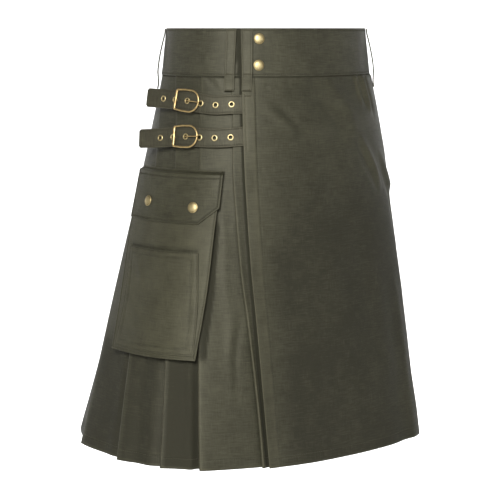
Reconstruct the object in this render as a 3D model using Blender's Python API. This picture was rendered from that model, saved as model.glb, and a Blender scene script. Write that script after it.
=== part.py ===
"""A pleated canvas utility kilt, standing open as it is worn.

The kilt hangs from the middle of its waistband, which is the origin. +Z is up, the wearer faces -Y and
the wearer's right side is -X. Cloth is drawn on one base form. A place on it is given by three values:
arc, the way round at that height from the middle of the front (minus to the wearer's right),
down, the length of cloth from the band's top edge, and stand, the distance out from the base form.
"""
import math

import bmesh
import bpy
import numpy as np
from mathutils import Vector

MM = 0.001
SEAM = 0.3 * MM                 # space between two pieces that are sewn or laid together
FACET_DIP = 0.4 * MM            # how far a flat facet lies inside the round form

# Driving sizes
LENGTH = 601.5 * MM             # cloth from the band's top edge to the hem
BAND_DEPTH = 66 * MM
BAND_CLOTH = 2.4 * MM           # two layers of canvas over a stiff lining
CANVAS = 1.1 * MM
PATCH_CLOTH = 1.5 * MM
STRAP_CLOTH = 1.8 * MM
STRAP_WIDTH = 26.5 * MM
EYELET_PITCH = 22 * MM
PLEATS_EACH_SIDE = 8
BAND_STAND = 2.0 * MM           # middle of the band's cloth, out from the base form

# Half widths of the base form, with the corner power of its rounded outline, from the top down
FORM = np.array([
    # down, right, left, front, back, power
    (0, 151, 151, 115, 115, 2.15),
    (66, 157.5, 157.5, 120.5, 120.5, 2.20),
    (126.5, 167, 168, 128.5, 128.5, 2.30),
    (195.5, 178.5, 176.5, 135, 141, 2.40),
    (294.5, 200, 190, 140.5, 158.5, 2.45),
    (446, 231.5, 207.5, 151, 189.5, 2.50),
    (604.5, 267, 227.5, 163, 226.5, 2.50),
])

# Arcs of the folds and edges on the front and the wearer's right, by distance down
FOLDS = np.array([
    # down, apron edge, apron fold, fold 1, fold 2, fold 3, fold 4
    (0, 123, 133.5, 139.5, 181.5, 227, 272),
    (66, 126, 137, 140, 182, 230, 275),
    (126.5, 131.5, 145.5, 144.5, 190.5, 233.5, 278.5),
    (215, 136, 153, 151, 197.5, 239.5, 287),
    (324.5, 137, 158, 150, 204.5, 247, 303.5),
    (395, 135.5, 160.5, 146.5, 210, 253, 316.5),
    (537.5, 132.5, 164.5, 140.5, 221, 268, 339),
    (604.5, 131, 166, 139, 225.5, 277, 348.5),
])
FOLD_SHY = 0.9                  # how far the last folds stop short of the middle of the back

# How far the folds stand out, and how the cloth returns under them
STANDS = np.array([
    # down, fold 1, other folds, fold mouth, underlap, apron edge, apron middle, apron fold
    (66, 3.2, 3.2, 1.6, 37, 4.8, 3.4, 3.9),
    (89.5, 3.2, 3.2, 1.6, 37, 6.6, 3.6, 4.2),
    (151, 3.2, 3.2, 1.6, 37, 6.5, 3.8, 5.0),
    (215, 3.8, 4.0, 1.8, 36, 6.6, 3.9, 6.0),
    (294.5, 4.8, 5.8, 2.2, 34, 7.6, 4.2, 8.0),
    (395, 5.8, 8.3, 2.6, 30, 8.6, 4.8, 12.0),
    (496.5, 6.4, 10.2, 2.9, 27, 9.2, 5.4, 16.0),
    (604.5, 7.0, 12.0, 3.2, 24, 10.0, 6.0, 21.0),
])
CLOTH_ROWS = ((BAND_DEPTH + SEAM) / MM, 89.5, 116.5, 151, 200.5, 255, 319.5, 395, 476.5, 543, LENGTH / MM)
FIRST_PANEL = (34, 8)           # where the cloth before fold 1 starts, and where it bends, before its edge
TUCK_STEP = 1.5                 # level start of the left pleats, inside the apron's return
TUCK_DROP = 0.1

# Apron, its return at the fold on the wearer's left, and the plain panel under it
APRON_COLUMNS = 17
APRON_RETURN = 26
RETURN_END = 3                  # level end of the return
RETURN_ROOM = 0.2               # room for the left pleats inside the return
UNDER_STANDS = ((-124, -97, -53), (0.6, -0.2, -2.2))
UNDER_END = 60                  # arc of the under panel's free edge
UNDER_COLUMNS = 12

# Waistband: rise of its front piece towards the free edge, and the back piece's way in under it
BAND_RISE = (60, 184, 2.6)      # arc where the rise starts, arcs that it takes, height
BAND_ROUND_END = -147
BAND_UNDER_ARCS = (-138, -124, -110, -93, -76, -58, -40, -20, 0, 20, 40, UNDER_END)
BAND_DIVE = ((-147, -124, -58), (0, 1.0, 3.4))

# Run of each strap from under the apron's edge to its tail: arc (plus to the right), stand, down
STRAP_RUNS = {
    "upper": np.array([
        (111.5, 3.6, 104), (130.5, 4.5, 104), (145, 6.2, 104), (165.5, 6.6, 105), (184.5, 6.9, 103),
        (203, 8.2, 100), (221.5, 9.8, 99), (243, 14.0, 98), (267.5, 27.0, 97),
    ]),
    "lower": np.array([
        (117, 3.6, 148), (136.5, 4.5, 148), (149.5, 6.2, 149), (167, 6.7, 150), (185, 7.0, 150),
        (206.5, 8.3, 149), (228, 10.2, 150), (248.5, 15.0, 152), (282, 31.0, 155),
    ]),
}
FIRST_EYELET = {"upper": 33 * MM, "lower": 33.5 * MM}     # along the strap from its sewn end
BUCKLED_EYELET = 3
EYELETS_EACH = 6
EYELET_HOLE = 2.5 * MM
EYELET_BARREL = 3.0 * MM
EYELET_RADIUS = 4.5 * MM
EYELET_RIM = 0.7 * MM
EYELET_WASHER = 0.4 * MM
EYELET_SIDES = 10
TAIL_CUT = 3 * MM

# Buckle, in its own plane: lengths along the strap from the prong's bar, heights over the strap's middle
BUCKLE_WIRE = 2.2 * MM
BUCKLE_BACK = 18 * MM           # to the middle of the straight bar over the tail
BUCKLE_BACK_BAR = 3.2 * MM
BUCKLE_FRONT = 22.5 * MM          # to the curved end
BUCKLE_INSIDE = 27.3 * MM
BUCKLE_CORNER = 14 * MM
BUCKLE_LIFT = 3.8 * MM
BAR_DROP = 2.9 * MM             # the prong's bar under the strap's middle
BAR_THICK = 2 * MM
PRONG_RADIUS = 1 * MM
# Side view of the prong, from its bar up through the eyelet and forward onto the frame: along, out
PRONG_RUN = ((0, -0.6), (0, 1.6), (-2.6, 3.7), (-11, 5.1), (-20, 6.3), (-24, 6.4))
TAB_START = BAR_THICK / 2 / MM + 1.4
TAB_LENGTH = 30
TAB_CLOTH = 1.4 * MM
TAB_WIDTH = 24 * MM

# Belt loops: places as shares of the way from the middle of the front to the middle of the back
LOOP_PLACES = (-0.317, -0.267, -0.65, 0.308, 0.65, 1.0)
FOLD_LOOP = 0.308               # the loop by the apron's fold stands a little further out
FOLD_LOOP_LIFT = 0.5
LOOP_WIDTH = 14 * MM
LOOP_CLOTH = 1.6 * MM
# Side view of a loop from the top: down, stand over the band's face; its foot lies on the cloth below
LOOP_SHAPE = ((0.5, 0), (8, 0.2), (18, 3.2), (31, 5.0), (46, 5.2), (60, 4.2), (72, 1.8), (79, 1.2), (86, 1.2))

SNAP_PROFILE = ((0, 0), (7.3, 0), (7.5, 0.7), (6.9, 1.5), (5.4, 2.1), (3.0, 2.6), (0, 2.8))
WAIST_SNAPS = (("waist_snap_upper", -99.5, 14.5), ("waist_snap_lower", -102.5, 50.5))
FLAP_SNAPS = (("flap_snap_front", -203.5, 245), ("flap_snap_back", -282.5, 241))

# Pocket on the wearer's right: arcs of its edges by distance down, and the face's stand
POCKET = np.array([
    # down, front edge, back edge, face stand
    (202.5, 164.5, 313.5, 11.0),
    (270, 178, 329.5, 13.0),
    (355, 194, 339, 16.0),
    (452, 217, 355.5, 19.5),
])
PATCH = np.array([
    # down, front edge, back edge, depth over the pocket's face
    (306.5, 201, 319, 3.6),
    (375, 207, 327.5, 2.6),
    (446, 218.5, 347.5, 2.0),
])
TRAY_EDGE = 0.8                 # how far a pocket's face stops short of its side walls
FLAP_TOP = 194.5
FLAP_BOTTOM = 268
FLAP_CORNER = 245
FLAP_ARCS = (161.5, 315.5)
FLAP_CLIP = 0.16                # share of the flap's width that its clipped corner takes
FLAP_SHARES = (0, 0.06, 0.13, 0.2, 0.3, 0.42, 0.54, 0.66, 0.78, 0.89, 1)
FLAP_LEVELS = (0, 0.022, 0.05, 0.075, 0.1, 0.35, 0.65, 1)
FLAP_STEP = (1.5, 4)            # where the flap starts to step out below its seam, and the length it takes
FLAP_ROOM = 0.4

# sRGB colours and finishes: red, green, blue, roughness, metallic
LOOKS = {
    "canvas": (70, 70, 58, 0.92, 0.0),
    "canvas_light": (80, 78, 65, 0.92, 0.0),
    "pocket_canvas": (82, 79, 66, 0.92, 0.0),
    "strap_canvas": (78, 76, 63, 0.90, 0.0),
    "antique_brass": (121, 117, 93, 0.38, 1.0),
    "dark_brass": (92, 84, 66, 0.42, 1.0),
}


def table_curve(table, column, down):
    """Smooth value of one table column at a distance down, with no overshoot between its rows."""
    xs = table[:, 0]
    ys = table[:, column]
    gap = np.diff(xs)
    chord = np.diff(ys) / gap
    slope = np.zeros(len(xs))
    before, after = chord[:-1], chord[1:]
    same_way = before * after > 0
    slope[1:-1] = np.where(same_way, 2 * before * after / np.where(same_way, before + after, 1), 0)
    slope[0] = chord[0]
    slope[-1] = chord[-1]
    down = np.clip(down, xs[0], xs[-1])
    k = int(np.clip(np.searchsorted(xs, down, side="right") - 1, 0, len(xs) - 2))
    t = (down - xs[k]) / gap[k]
    rise = ys[k] * (2 * t**3 - 3 * t**2 + 1) + ys[k + 1] * (3 * t**2 - 2 * t**3)
    return rise + gap[k] * (slope[k] * (t**3 - 2 * t**2 + t) + slope[k + 1] * (t**3 - t**2))


class BaseForm:
    """The smooth body of the kilt, as outlines at even distances down the cloth."""

    TURNS = np.radians(np.arange(-180, 181))
    STEP = 5

    def __init__(self):
        self.downs = np.arange(0, FORM[-1, 0] + self.STEP, self.STEP)
        self.plan = np.array([self.outline(down) for down in self.downs])
        run = np.linalg.norm(np.diff(self.plan, axis=0), axis=-1)
        fall = np.sqrt(np.maximum(self.STEP**2 - run**2, 1))
        start = np.zeros((1, len(self.TURNS)))
        self.fall = np.concatenate([start, np.cumsum(fall, axis=0)])
        around = np.linalg.norm(np.diff(self.plan, axis=1), axis=-1)
        arcs = np.concatenate([np.zeros((len(self.downs), 1)), np.cumsum(around, axis=1)], axis=1)
        self.arcs = arcs - arcs[:, 180:181]
        along = np.gradient(self.plan, axis=1)
        along /= np.linalg.norm(along, axis=-1, keepdims=True)
        self.out = np.stack([along[..., 1], -along[..., 0]], axis=-1)

    def outline(self, down):
        """Rounded oval in plan: each half width times the sine or cosine to the power 2 / corner power."""
        right, left, front, back, power = (table_curve(FORM, k, down) for k in range(1, 6))
        side, ahead = np.sin(self.TURNS), np.cos(self.TURNS)
        x = np.sign(side) * np.abs(side) ** (2 / power) * np.where(side < 0, right, left)
        y = -np.sign(ahead) * np.abs(ahead) ** (2 / power) * np.where(ahead > 0, front, back)
        return np.stack([x, y], axis=-1)

    def row(self, down):
        """Arcs, plan, outward direction and fall of the outline at one distance down."""
        place = np.clip(down / self.STEP, 0, len(self.downs) - 1)
        k = min(int(place), len(self.downs) - 2)
        t = place - k
        fields = (self.arcs, self.plan, self.out, self.fall)
        return [(1 - t) * field[k] + t * field[k + 1] for field in fields]

    def half(self, down, side):
        """Length round from the middle of the front to the middle of the back, on one side."""
        arcs = self.row(down)[0]
        return -arcs[0] if side < 0 else arcs[-1]

    def points(self, arcs, stands, down):
        """World points, in metres, of a row of arcs and stands (mm) at one distance down (mm)."""
        round_arcs, plan, out, fall = self.row(down)
        whole = round_arcs[-1] - round_arcs[0]
        arcs = (np.asarray(arcs, float) - round_arcs[0]) % whole + round_arcs[0]
        spot = np.stack([np.interp(arcs, round_arcs, plan[:, k]) for k in (0, 1)], axis=-1)
        away = np.stack([np.interp(arcs, round_arcs, out[:, k]) for k in (0, 1)], axis=-1)
        away /= np.linalg.norm(away, axis=-1, keepdims=True)
        height = BAND_DEPTH / 2 / MM - np.interp(arcs, round_arcs, fall)
        return np.column_stack([spot + away * np.asarray(stands, float)[..., None], height]) * MM

    def point(self, arc, stand, down):
        return Vector(self.points([arc], [stand], down)[0])

    def axes(self, arc, stand, down):
        """Place on the form with its outward, sideways (to the wearer's left) and upward directions."""
        here = self.point(arc, stand, down)
        side = (self.point(arc + 2, stand, down) - self.point(arc - 2, stand, down)).normalized()
        up = (self.point(arc, stand, down - 4) - self.point(arc, stand, down + 4)).normalized()
        out = side.cross(up).normalized()
        return here, out, side, out.cross(side)


FORM_BODY = BaseForm()


def clear_scene():
    for old in list(bpy.data.objects):
        bpy.data.objects.remove(old, do_unlink=True)


def linear(channel):
    """Linear light of one sRGB channel from 0 to 255."""
    share = channel / 255
    return share / 12.92 if share <= 0.04045 else ((share + 0.055) / 1.055) ** 2.4


def material(name):
    """Principled material of one of the looks, made once."""
    made = bpy.data.materials.get(name)
    if made:
        return made
    red, green, blue, roughness, metallic = LOOKS[name]
    made = bpy.data.materials.new(name)
    made.use_nodes = True
    shader = made.node_tree.nodes["Principled BSDF"]
    shader.inputs["Base Color"].default_value = (linear(red), linear(green), linear(blue), 1)
    shader.inputs["Roughness"].default_value = roughness
    shader.inputs["Metallic"].default_value = metallic
    return made


def add_object(name, bm, look, crease=40):
    """Scene object of a finished mesh, with its normals out and its round faces smooth."""
    bmesh.ops.recalc_face_normals(bm, faces=bm.faces)
    if bm.calc_volume(signed=True) < 0:
        bmesh.ops.reverse_faces(bm, faces=bm.faces)
    mesh = bpy.data.meshes.new(name)
    bm.to_mesh(mesh)
    bm.free()
    mesh.shade_smooth()
    mesh.set_sharp_from_angle(angle=math.radians(crease))
    mesh.materials.append(material(look))
    made = bpy.data.objects.new(name, mesh)
    bpy.context.collection.objects.link(made)
    return made


def wall_mesh(outer, inner):
    """Closed wall between two grids of points of one size: both faces and the strip round their edges."""
    bm = bmesh.new()
    rows, columns = outer.shape[:2]
    skins = [[[bm.verts.new(point) for point in row] for row in skin] for skin in (outer, inner)]
    for skin in skins:
        for j in range(rows - 1):
            for i in range(columns - 1):
                bm.faces.new((skin[j][i], skin[j][i + 1], skin[j + 1][i + 1], skin[j + 1][i]))
    rim = [(0, i) for i in range(columns)]
    rim += [(j, columns - 1) for j in range(1, rows)]
    rim += [(rows - 1, i) for i in range(columns - 2, -1, -1)]
    rim += [(j, 0) for j in range(rows - 2, 0, -1)]
    for here, there in zip(rim, rim[1:] + rim[:1]):
        near = [skin[here[0]][here[1]] for skin in skins]
        far = [skin[there[0]][there[1]] for skin in skins]
        bm.faces.new((near[0], far[0], far[1], near[1]))
    bmesh.ops.triangulate(bm, faces=bm.faces)
    return bm


def wall_on_form(name, look, downs, profile, cloth):
    """Wall whose middle line at each distance down is profile(down), as rows of arc and stand."""
    skins = {1: [], -1: []}
    for down in downs:
        line = profile(down)
        for way, skin in skins.items():
            path = offset_line(line, way * cloth / 2 / MM)
            skin.append(FORM_BODY.points(path[:, 0], path[:, 1], down))
    return add_object(name, wall_mesh(np.array(skins[1]), np.array(skins[-1])), look)


def offset_line(line, distance):
    """Line moved to its left-hand side by a distance, with mitred corners."""
    line = np.asarray(line, float)
    run = np.diff(line, axis=0)
    run /= np.linalg.norm(run, axis=1, keepdims=True)
    side = np.column_stack([-run[:, 1], run[:, 0]])
    before = np.vstack([side[:1], side])
    after = np.vstack([side, side[-1:]])
    mitre = before + after
    mitre /= (1 + (before * after).sum(axis=1))[:, None]
    return line + mitre * distance


def mirrored(line, side):
    """Line of distances from the front turned into arcs on one side of the kilt."""
    return line * np.array([side, 1])


def fold_places(down, side):
    """Distances round from the front of the first edge and of every pleat's fold, on one side."""
    middle_back = FORM_BODY.half(down, side) - FOLD_SHY
    if side < 0:
        known = [table_curve(FOLDS, k, down) for k in (1, 3, 4, 5, 6)]
    else:
        known = [table_curve(FOLDS, 2, down)]
    left_over = PLEATS_EACH_SIDE + 1 - len(known)
    rest = np.linspace(known[-1], middle_back, left_over + 1)[1:]
    return np.array(known + list(rest))


def pleat_line(down, side):
    """Middle line of one side's knife pleats.

    Every visible panel climbs evenly from under the fold before it to its own fold, which faces the
    back. There the cloth turns, runs back beneath the panel by the underlap and turns again, so the
    panels lie like shingles. The last underlap ends at the seam in the middle of the back.
    """
    first, lift, mouth, underlap = (table_curve(STANDS, k, down) for k in (1, 2, 3, 4))
    folds = fold_places(down, side)
    pitches = np.diff(folds)
    turn = mouth / 2
    if side < 0:
        slope = lift / pitches[1]
        line = [(folds[0] - reach, first - slope * (folds[1] - folds[0] + reach)) for reach in FIRST_PANEL]
        line += [(folds[1] - turn, first)]
        pairs = list(zip(folds[1:], [first] + [lift] * (PLEATS_EACH_SIDE - 1)))
    else:
        tuck = APRON_RETURN
        low = -lift * tuck / pitches[0]
        lead = folds[0] - tuck - SEAM / MM
        bend = lead - TUCK_STEP
        line = [(lead, low + mouth), (bend, low + mouth - TUCK_DROP), (bend - turn, low + turn), (bend, low)]
        line += panel_points(folds[0], folds[1], lift, turn)
        pairs = list(zip(folds[1:], [lift] * PLEATS_EACH_SIDE))
    for k, (fold, height) in enumerate(pairs):
        after = pairs[k + 1][0] if k + 1 < len(pairs) else None
        pitch = (after if after else fold + pitches[-1]) - fold
        low = -lift * underlap / pitch
        line += [(fold, height - turn), (fold - turn, height - mouth)]
        line += [(fold - underlap, low + mouth), (fold - underlap - turn, low + turn), (fold - underlap, low)]
        if after:
            line += panel_points(fold, after, lift, turn)
        else:
            line += [(fold + FOLD_SHY - SEAM / 2 / MM, 0)]
    return mirrored(np.array(line), side)


# Where a visible panel's points lie between its two folds; the last one is set back by the fold's turn
PANEL_SHARES = (0, 0.36, 0.7)


def panel_points(start, end, lift, turn):
    """Points of a visible panel, from where it comes out to the front of its fold."""
    points = [(start + share * (end - start), lift * share) for share in PANEL_SHARES]
    return points + [(end - turn, lift)]


def under_stand(arc):
    """Stand of the cloth under the apron: level with the first pleat at its edge, deeper further on."""
    return np.interp(arc, *UNDER_STANDS)


def apron_line(down):
    """Middle line of the apron: free edge, front, the fold on the wearer's left and the return under it."""
    edge, fold = table_curve(FOLDS, 1, down), table_curve(FOLDS, 2, down)
    mouth = table_curve(STANDS, 3, down) + RETURN_ROOM
    stands = [table_curve(STANDS, k, down) for k in (5, 6, 7)]
    share = np.linspace(0, 1, APRON_COLUMNS)
    edge_part = (1 - np.minimum(share / 0.55, 1)) ** 2
    fold_part = np.maximum((share - 0.35) / 0.65, 0) ** 2
    stand = stands[1] + (stands[0] - stands[1]) * edge_part + (stands[2] - stands[1]) * fold_part
    turn = mouth / 2
    arc = -edge + share * (edge + fold - turn)
    lift, pitch = table_curve(STANDS, 2, down), fold_places(down, 1)[1] - fold
    low = -lift * APRON_RETURN / pitch
    inner = low + table_curve(STANDS, 3, down)
    back = [(fold, stands[2] - turn), (fold - turn, stands[2] - mouth)]
    back += [(fold - APRON_RETURN + RETURN_END, inner + RETURN_ROOM), (fold - APRON_RETURN, inner)]
    return np.vstack([np.column_stack([arc, stand]), back])


def under_line(down):
    """Middle line of the plain panel under the apron, sewn on before the first pleat."""
    pleats = pleat_line(down, -1)
    start, level = pleats[0]
    arcs = np.linspace(start + SEAM / MM, UNDER_END, UNDER_COLUMNS)
    drop = level - under_stand(start)
    return np.column_stack([arcs, under_stand(arcs) + drop * np.linspace(1, 0, UNDER_COLUMNS) ** 2])


def band_front_stand(arc):
    """Stand of the band's front piece, which lies over the back piece at the apron's free edge."""
    start, reach, rise = BAND_RISE
    return BAND_STAND / MM + rise * np.clip((start - arc) / reach, 0, 1) ** 1.5


def band_front_line(down):
    edge, joint = table_curve(FOLDS, 1, down), table_curve(FOLDS, 2, down)
    arcs = np.linspace(-edge, joint, 23)
    return np.column_stack([arcs, band_front_stand(arcs)])[::-1]


def band_back_line(down):
    """From the joint on the wearer's left round the back, then in under the front piece."""
    joint = table_curve(FOLDS, 2, down) + SEAM / MM
    whole = FORM_BODY.half(down, -1) + FORM_BODY.half(down, 1)
    round_back = np.linspace(joint - whole, BAND_ROUND_END, 42)
    dive = np.interp(BAND_UNDER_ARCS, *BAND_DIVE)
    arcs = np.concatenate([round_back, BAND_UNDER_ARCS])
    stands = BAND_STAND / MM - np.concatenate([np.zeros(len(round_back)), dive])
    return np.column_stack([arcs, stands])[::-1]


def make_cloth():
    """Band, apron, under panel and pleats."""
    band_rows = (0, BAND_DEPTH / 2 / MM, BAND_DEPTH / MM)
    wall_on_form("waistband_front", "canvas_light", band_rows, band_front_line, BAND_CLOTH)
    wall_on_form("waistband_back", "canvas_light", band_rows, band_back_line, BAND_CLOTH)
    wall_on_form("apron_over", "canvas", CLOTH_ROWS, apron_line, CANVAS)
    wall_on_form("apron_under", "canvas", CLOTH_ROWS, under_line, CANVAS)
    for name, side in (("pleats_right", -1), ("pleats_left", 1)):
        wall_on_form(name, "canvas", CLOTH_ROWS, lambda down, side=side: pleat_line(down, side), CANVAS)


def strip_mesh(centres, across, out, width, cloth):
    """Closed flat strip along a row of points, with its width direction and outward direction at each."""
    bm = bmesh.new()
    rings = []
    for centre, wide, away in zip(centres, across, out):
        half, thick = wide * width / 2, away * cloth / 2
        corners = (centre + half + thick, centre - half + thick, centre - half - thick, centre + half - thick)
        rings.append([bm.verts.new(corner) for corner in corners])
    for here, there in zip(rings, rings[1:]):
        for i in range(4):
            bm.faces.new((here[i], here[(i + 1) % 4], there[(i + 1) % 4], there[i]))
    bm.faces.new(rings[0])
    bm.faces.new(rings[-1])
    return bm


def make_belt_loops():
    """Six loops that stand off the band, one at the apron's edge and one at its fold."""
    for number, share in enumerate(LOOP_PLACES, start=1):
        arc = share * FORM_BODY.half(BAND_DEPTH / 2 / MM, share)
        on_front = -FOLDS[1, 1] < arc < FOLDS[1, 2]
        band = band_front_stand(arc) if on_front else BAND_STAND / MM
        face = band + (BAND_CLOTH / 2 + SEAM + LOOP_CLOTH / 2) / MM
        if share == FOLD_LOOP:
            face += FOLD_LOOP_LIFT
        places = []
        for down, rise in LOOP_SHAPE:
            upright = share * FORM_BODY.half(down, share)
            places.append(FORM_BODY.axes(upright, face + rise, down))
        centres = [place[0] for place in places]
        run = [(b - a).normalized() for a, b in zip(centres[:-1], centres[1:])]
        run.append(run[-1])
        across = [place[2] for place in places]
        out = [wide.cross(-way).normalized() for wide, way in zip(across, run)]
        bm = strip_mesh(centres, across, out, LOOP_WIDTH, LOOP_CLOTH)
        add_object(f"belt_loop_{number}", bm, "canvas_light", crease=50)


def turned_mesh(profile, sides):
    """Solid of revolution about +Z through radii and heights, closed at the axis or as a ring."""
    bm = bmesh.new()
    rings = []
    for radius, height in profile:
        if radius == 0:
            rings.append([bm.verts.new((0, 0, height))] * sides)
            continue
        turns = [2 * math.pi * k / sides for k in range(sides)]
        rings.append([bm.verts.new((radius * math.cos(t), radius * math.sin(t), height)) for t in turns])
    pairs = list(zip(rings, rings[1:]))
    if profile[0][0] and profile[-1][0]:
        pairs.append((rings[-1], rings[0]))
    for low, high in pairs:
        for k in range(sides):
            corners = (low[k], low[(k + 1) % sides], high[(k + 1) % sides], high[k])
            bm.faces.new(list(dict.fromkeys(corners)))
    return bm


def set_on(bm, place):
    """Move a mesh made about +Z to a place, with +Z along its outward direction."""
    here, out, side, up = place
    for vert in bm.verts:
        vert.co = here + side * vert.co.x + up * vert.co.y + out * vert.co.z


def make_snap(name, arc, stand, down):
    bm = turned_mesh([(radius * MM, height * MM) for radius, height in SNAP_PROFILE], 20)
    set_on(bm, FORM_BODY.axes(arc, stand + SEAM / MM, down))
    add_object(name, bm, "antique_brass", crease=30)


def make_waist_snaps():
    for name, arc, down in WAIST_SNAPS:
        make_snap(name, arc, band_front_stand(arc) + BAND_CLOTH / 2 / MM, down)


def tray_grids(table, lift, wall, arcs_across, rows, floor):
    """Outer and inner grids of a pocket that is open at its top and at its back.

    The face stands at lift(down) and its sides and bottom turn in to floor(down), beside the cloth.
    """
    top, bottom = table[0, 0], table[-1, 0]
    downs = np.linspace(top, bottom, rows)
    grids = []
    for inset in (0, wall):
        grid = []
        levels = [(down, 1) for down in downs[:-1]] + [(bottom - TRAY_EDGE - inset, 1), (bottom - inset, 0)]
        for down, raised in levels:
            front = table_curve(table, 1, down) + inset
            back = table_curve(table, 2, down) - inset
            face = np.linspace(front + TRAY_EDGE, back - TRAY_EDGE, arcs_across)
            arcs = np.concatenate([[front], face, [back]])
            stands = np.full(len(arcs), (lift(down) - inset) if raised else floor(down))
            stands[[0, -1]] = floor(down)
            grid.append(FORM_BODY.points(-arcs, stands, down))
        grids.append(np.array(grid))
    return grids


def pleat_face(down):
    """Stand just over the fold edges of the pleats, with room for the flat facets between points."""
    return table_curve(STANDS, 2, down) + (CANVAS / 2 + SEAM + FACET_DIP) / MM


def pocket_face(down):
    return table_curve(POCKET, 3, down)


def patch_face(down):
    return pocket_face(down) + table_curve(PATCH, 3, down)


def make_pocket():
    """Cargo pocket with a bellows side, a patch pocket on its face and a snapped flap over its mouth."""
    outer, inner = tray_grids(POCKET, pocket_face, PATCH_CLOTH / MM, 14, 12, pleat_face)
    add_object("pocket_body", wall_mesh(outer, inner), "pocket_canvas")

    def patch_floor(down):
        return pocket_face(down) + SEAM / MM

    outer, inner = tray_grids(PATCH, patch_face, CANVAS / MM, 12, 8, patch_floor)
    add_object("pocket_patch", wall_mesh(outer, inner), "pocket_canvas")
    make_flap()
    for name, arc, down in FLAP_SNAPS:
        make_snap(name, arc, flap_stand(down) + PATCH_CLOTH / 2 / MM, down)


def flap_stand(down):
    """Stand of the flap's middle: on the pleats at its seam, then out over the pocket's face."""
    sewn = pleat_face(FLAP_TOP) + PATCH_CLOTH / 2 / MM
    hanging = pocket_face(down) + SEAM / MM + PATCH_CLOTH / 2 / MM + FLAP_ROOM
    start, reach = FLAP_STEP
    share = np.clip((down - FLAP_TOP - start) / reach, 0, 1)
    return sewn + (hanging - sewn) * share


def make_flap():
    front, back = FLAP_ARCS
    spread = table_curve(POCKET, 1, FLAP_BOTTOM) - table_curve(POCKET, 1, POCKET[0, 0])
    grow = spread / (FLAP_BOTTOM - FLAP_TOP)
    skins = []
    for way in (1, -1):
        skin = []
        for level in FLAP_LEVELS:
            row = []
            for share in FLAP_SHARES:
                lowest = np.interp(share, (0, FLAP_CLIP, 1), (FLAP_CORNER, FLAP_BOTTOM, FLAP_BOTTOM))
                down = FLAP_TOP + level * (lowest - FLAP_TOP)
                arc = front + grow * (down - FLAP_TOP) + share * (back - front)
                stand = flap_stand(down) + way * PATCH_CLOTH / 2 / MM
                row.append(FORM_BODY.points([-arc], [stand], down)[0])
            skin.append(row)
        skins.append(np.array(skin))
    add_object("pocket_flap", wall_mesh(*skins), "pocket_canvas")


class StrapPath:
    """Smooth run of a strap: place, direction, outward and upward directions by length along it."""

    def __init__(self, rows):
        places = [FORM_BODY.axes(-arc, stand, down) for arc, stand, down in rows]
        spots = [place[0] for place in places]
        fine = []
        for k in range(len(spots) - 1):
            before = spots[max(k - 1, 0)]
            after = spots[min(k + 2, len(spots) - 1)]
            for step in range(8):
                fine.append(self.blend(before, spots[k], spots[k + 1], after, step / 8))
        fine.append(spots[-1])
        self.spots = np.array(fine)
        steps = np.linalg.norm(np.diff(self.spots, axis=0), axis=1)
        self.lengths = np.concatenate([[0], np.cumsum(steps)])
        self.length = self.lengths[-1]
        self.lean = np.array([place[3] for place in places])
        self.rows = np.array(rows, float)

    def arc_and_down(self, length):
        knots = self.lengths[::8]
        return [np.interp(length, knots, self.rows[:, k]) for k in (0, 2)]

    @staticmethod
    def blend(before, start, end, after, t):
        """Point between start and end on a curve whose slopes follow the points on either side."""
        leave, arrive = (end - before) / 2, (after - start) / 2
        place = start * (2 * t**3 - 3 * t**2 + 1) + end * (3 * t**2 - 2 * t**3)
        return place + leave * (t**3 - 2 * t**2 + t) + arrive * (t**3 - t**2)

    @staticmethod
    def read(lengths, values, length):
        return Vector([np.interp(length, lengths, values[:, k]) for k in range(3)])

    def axes(self, length):
        """Place, outward, backward along the strap and up across it, leaning with the cloth's flare."""
        reach = 6 * MM
        here = self.read(self.lengths, self.spots, length)
        before = self.read(self.lengths, self.spots, max(length - reach, 0))
        after = self.read(self.lengths, self.spots, min(length + reach, self.length))
        along = (after - before).normalized()
        lean = self.read(self.lengths[::8], self.lean, length)
        out = lean.cross(along).normalized()
        return here, out, along, along.cross(out)


STRAPS = {name: StrapPath(rows) for name, rows in STRAP_RUNS.items()}


def eyelet_places(name):
    """Lengths along a strap of its eyelets, from the apron to the tail."""
    return [FIRST_EYELET[name] + k * EYELET_PITCH for k in range(EYELETS_EACH)]


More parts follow.
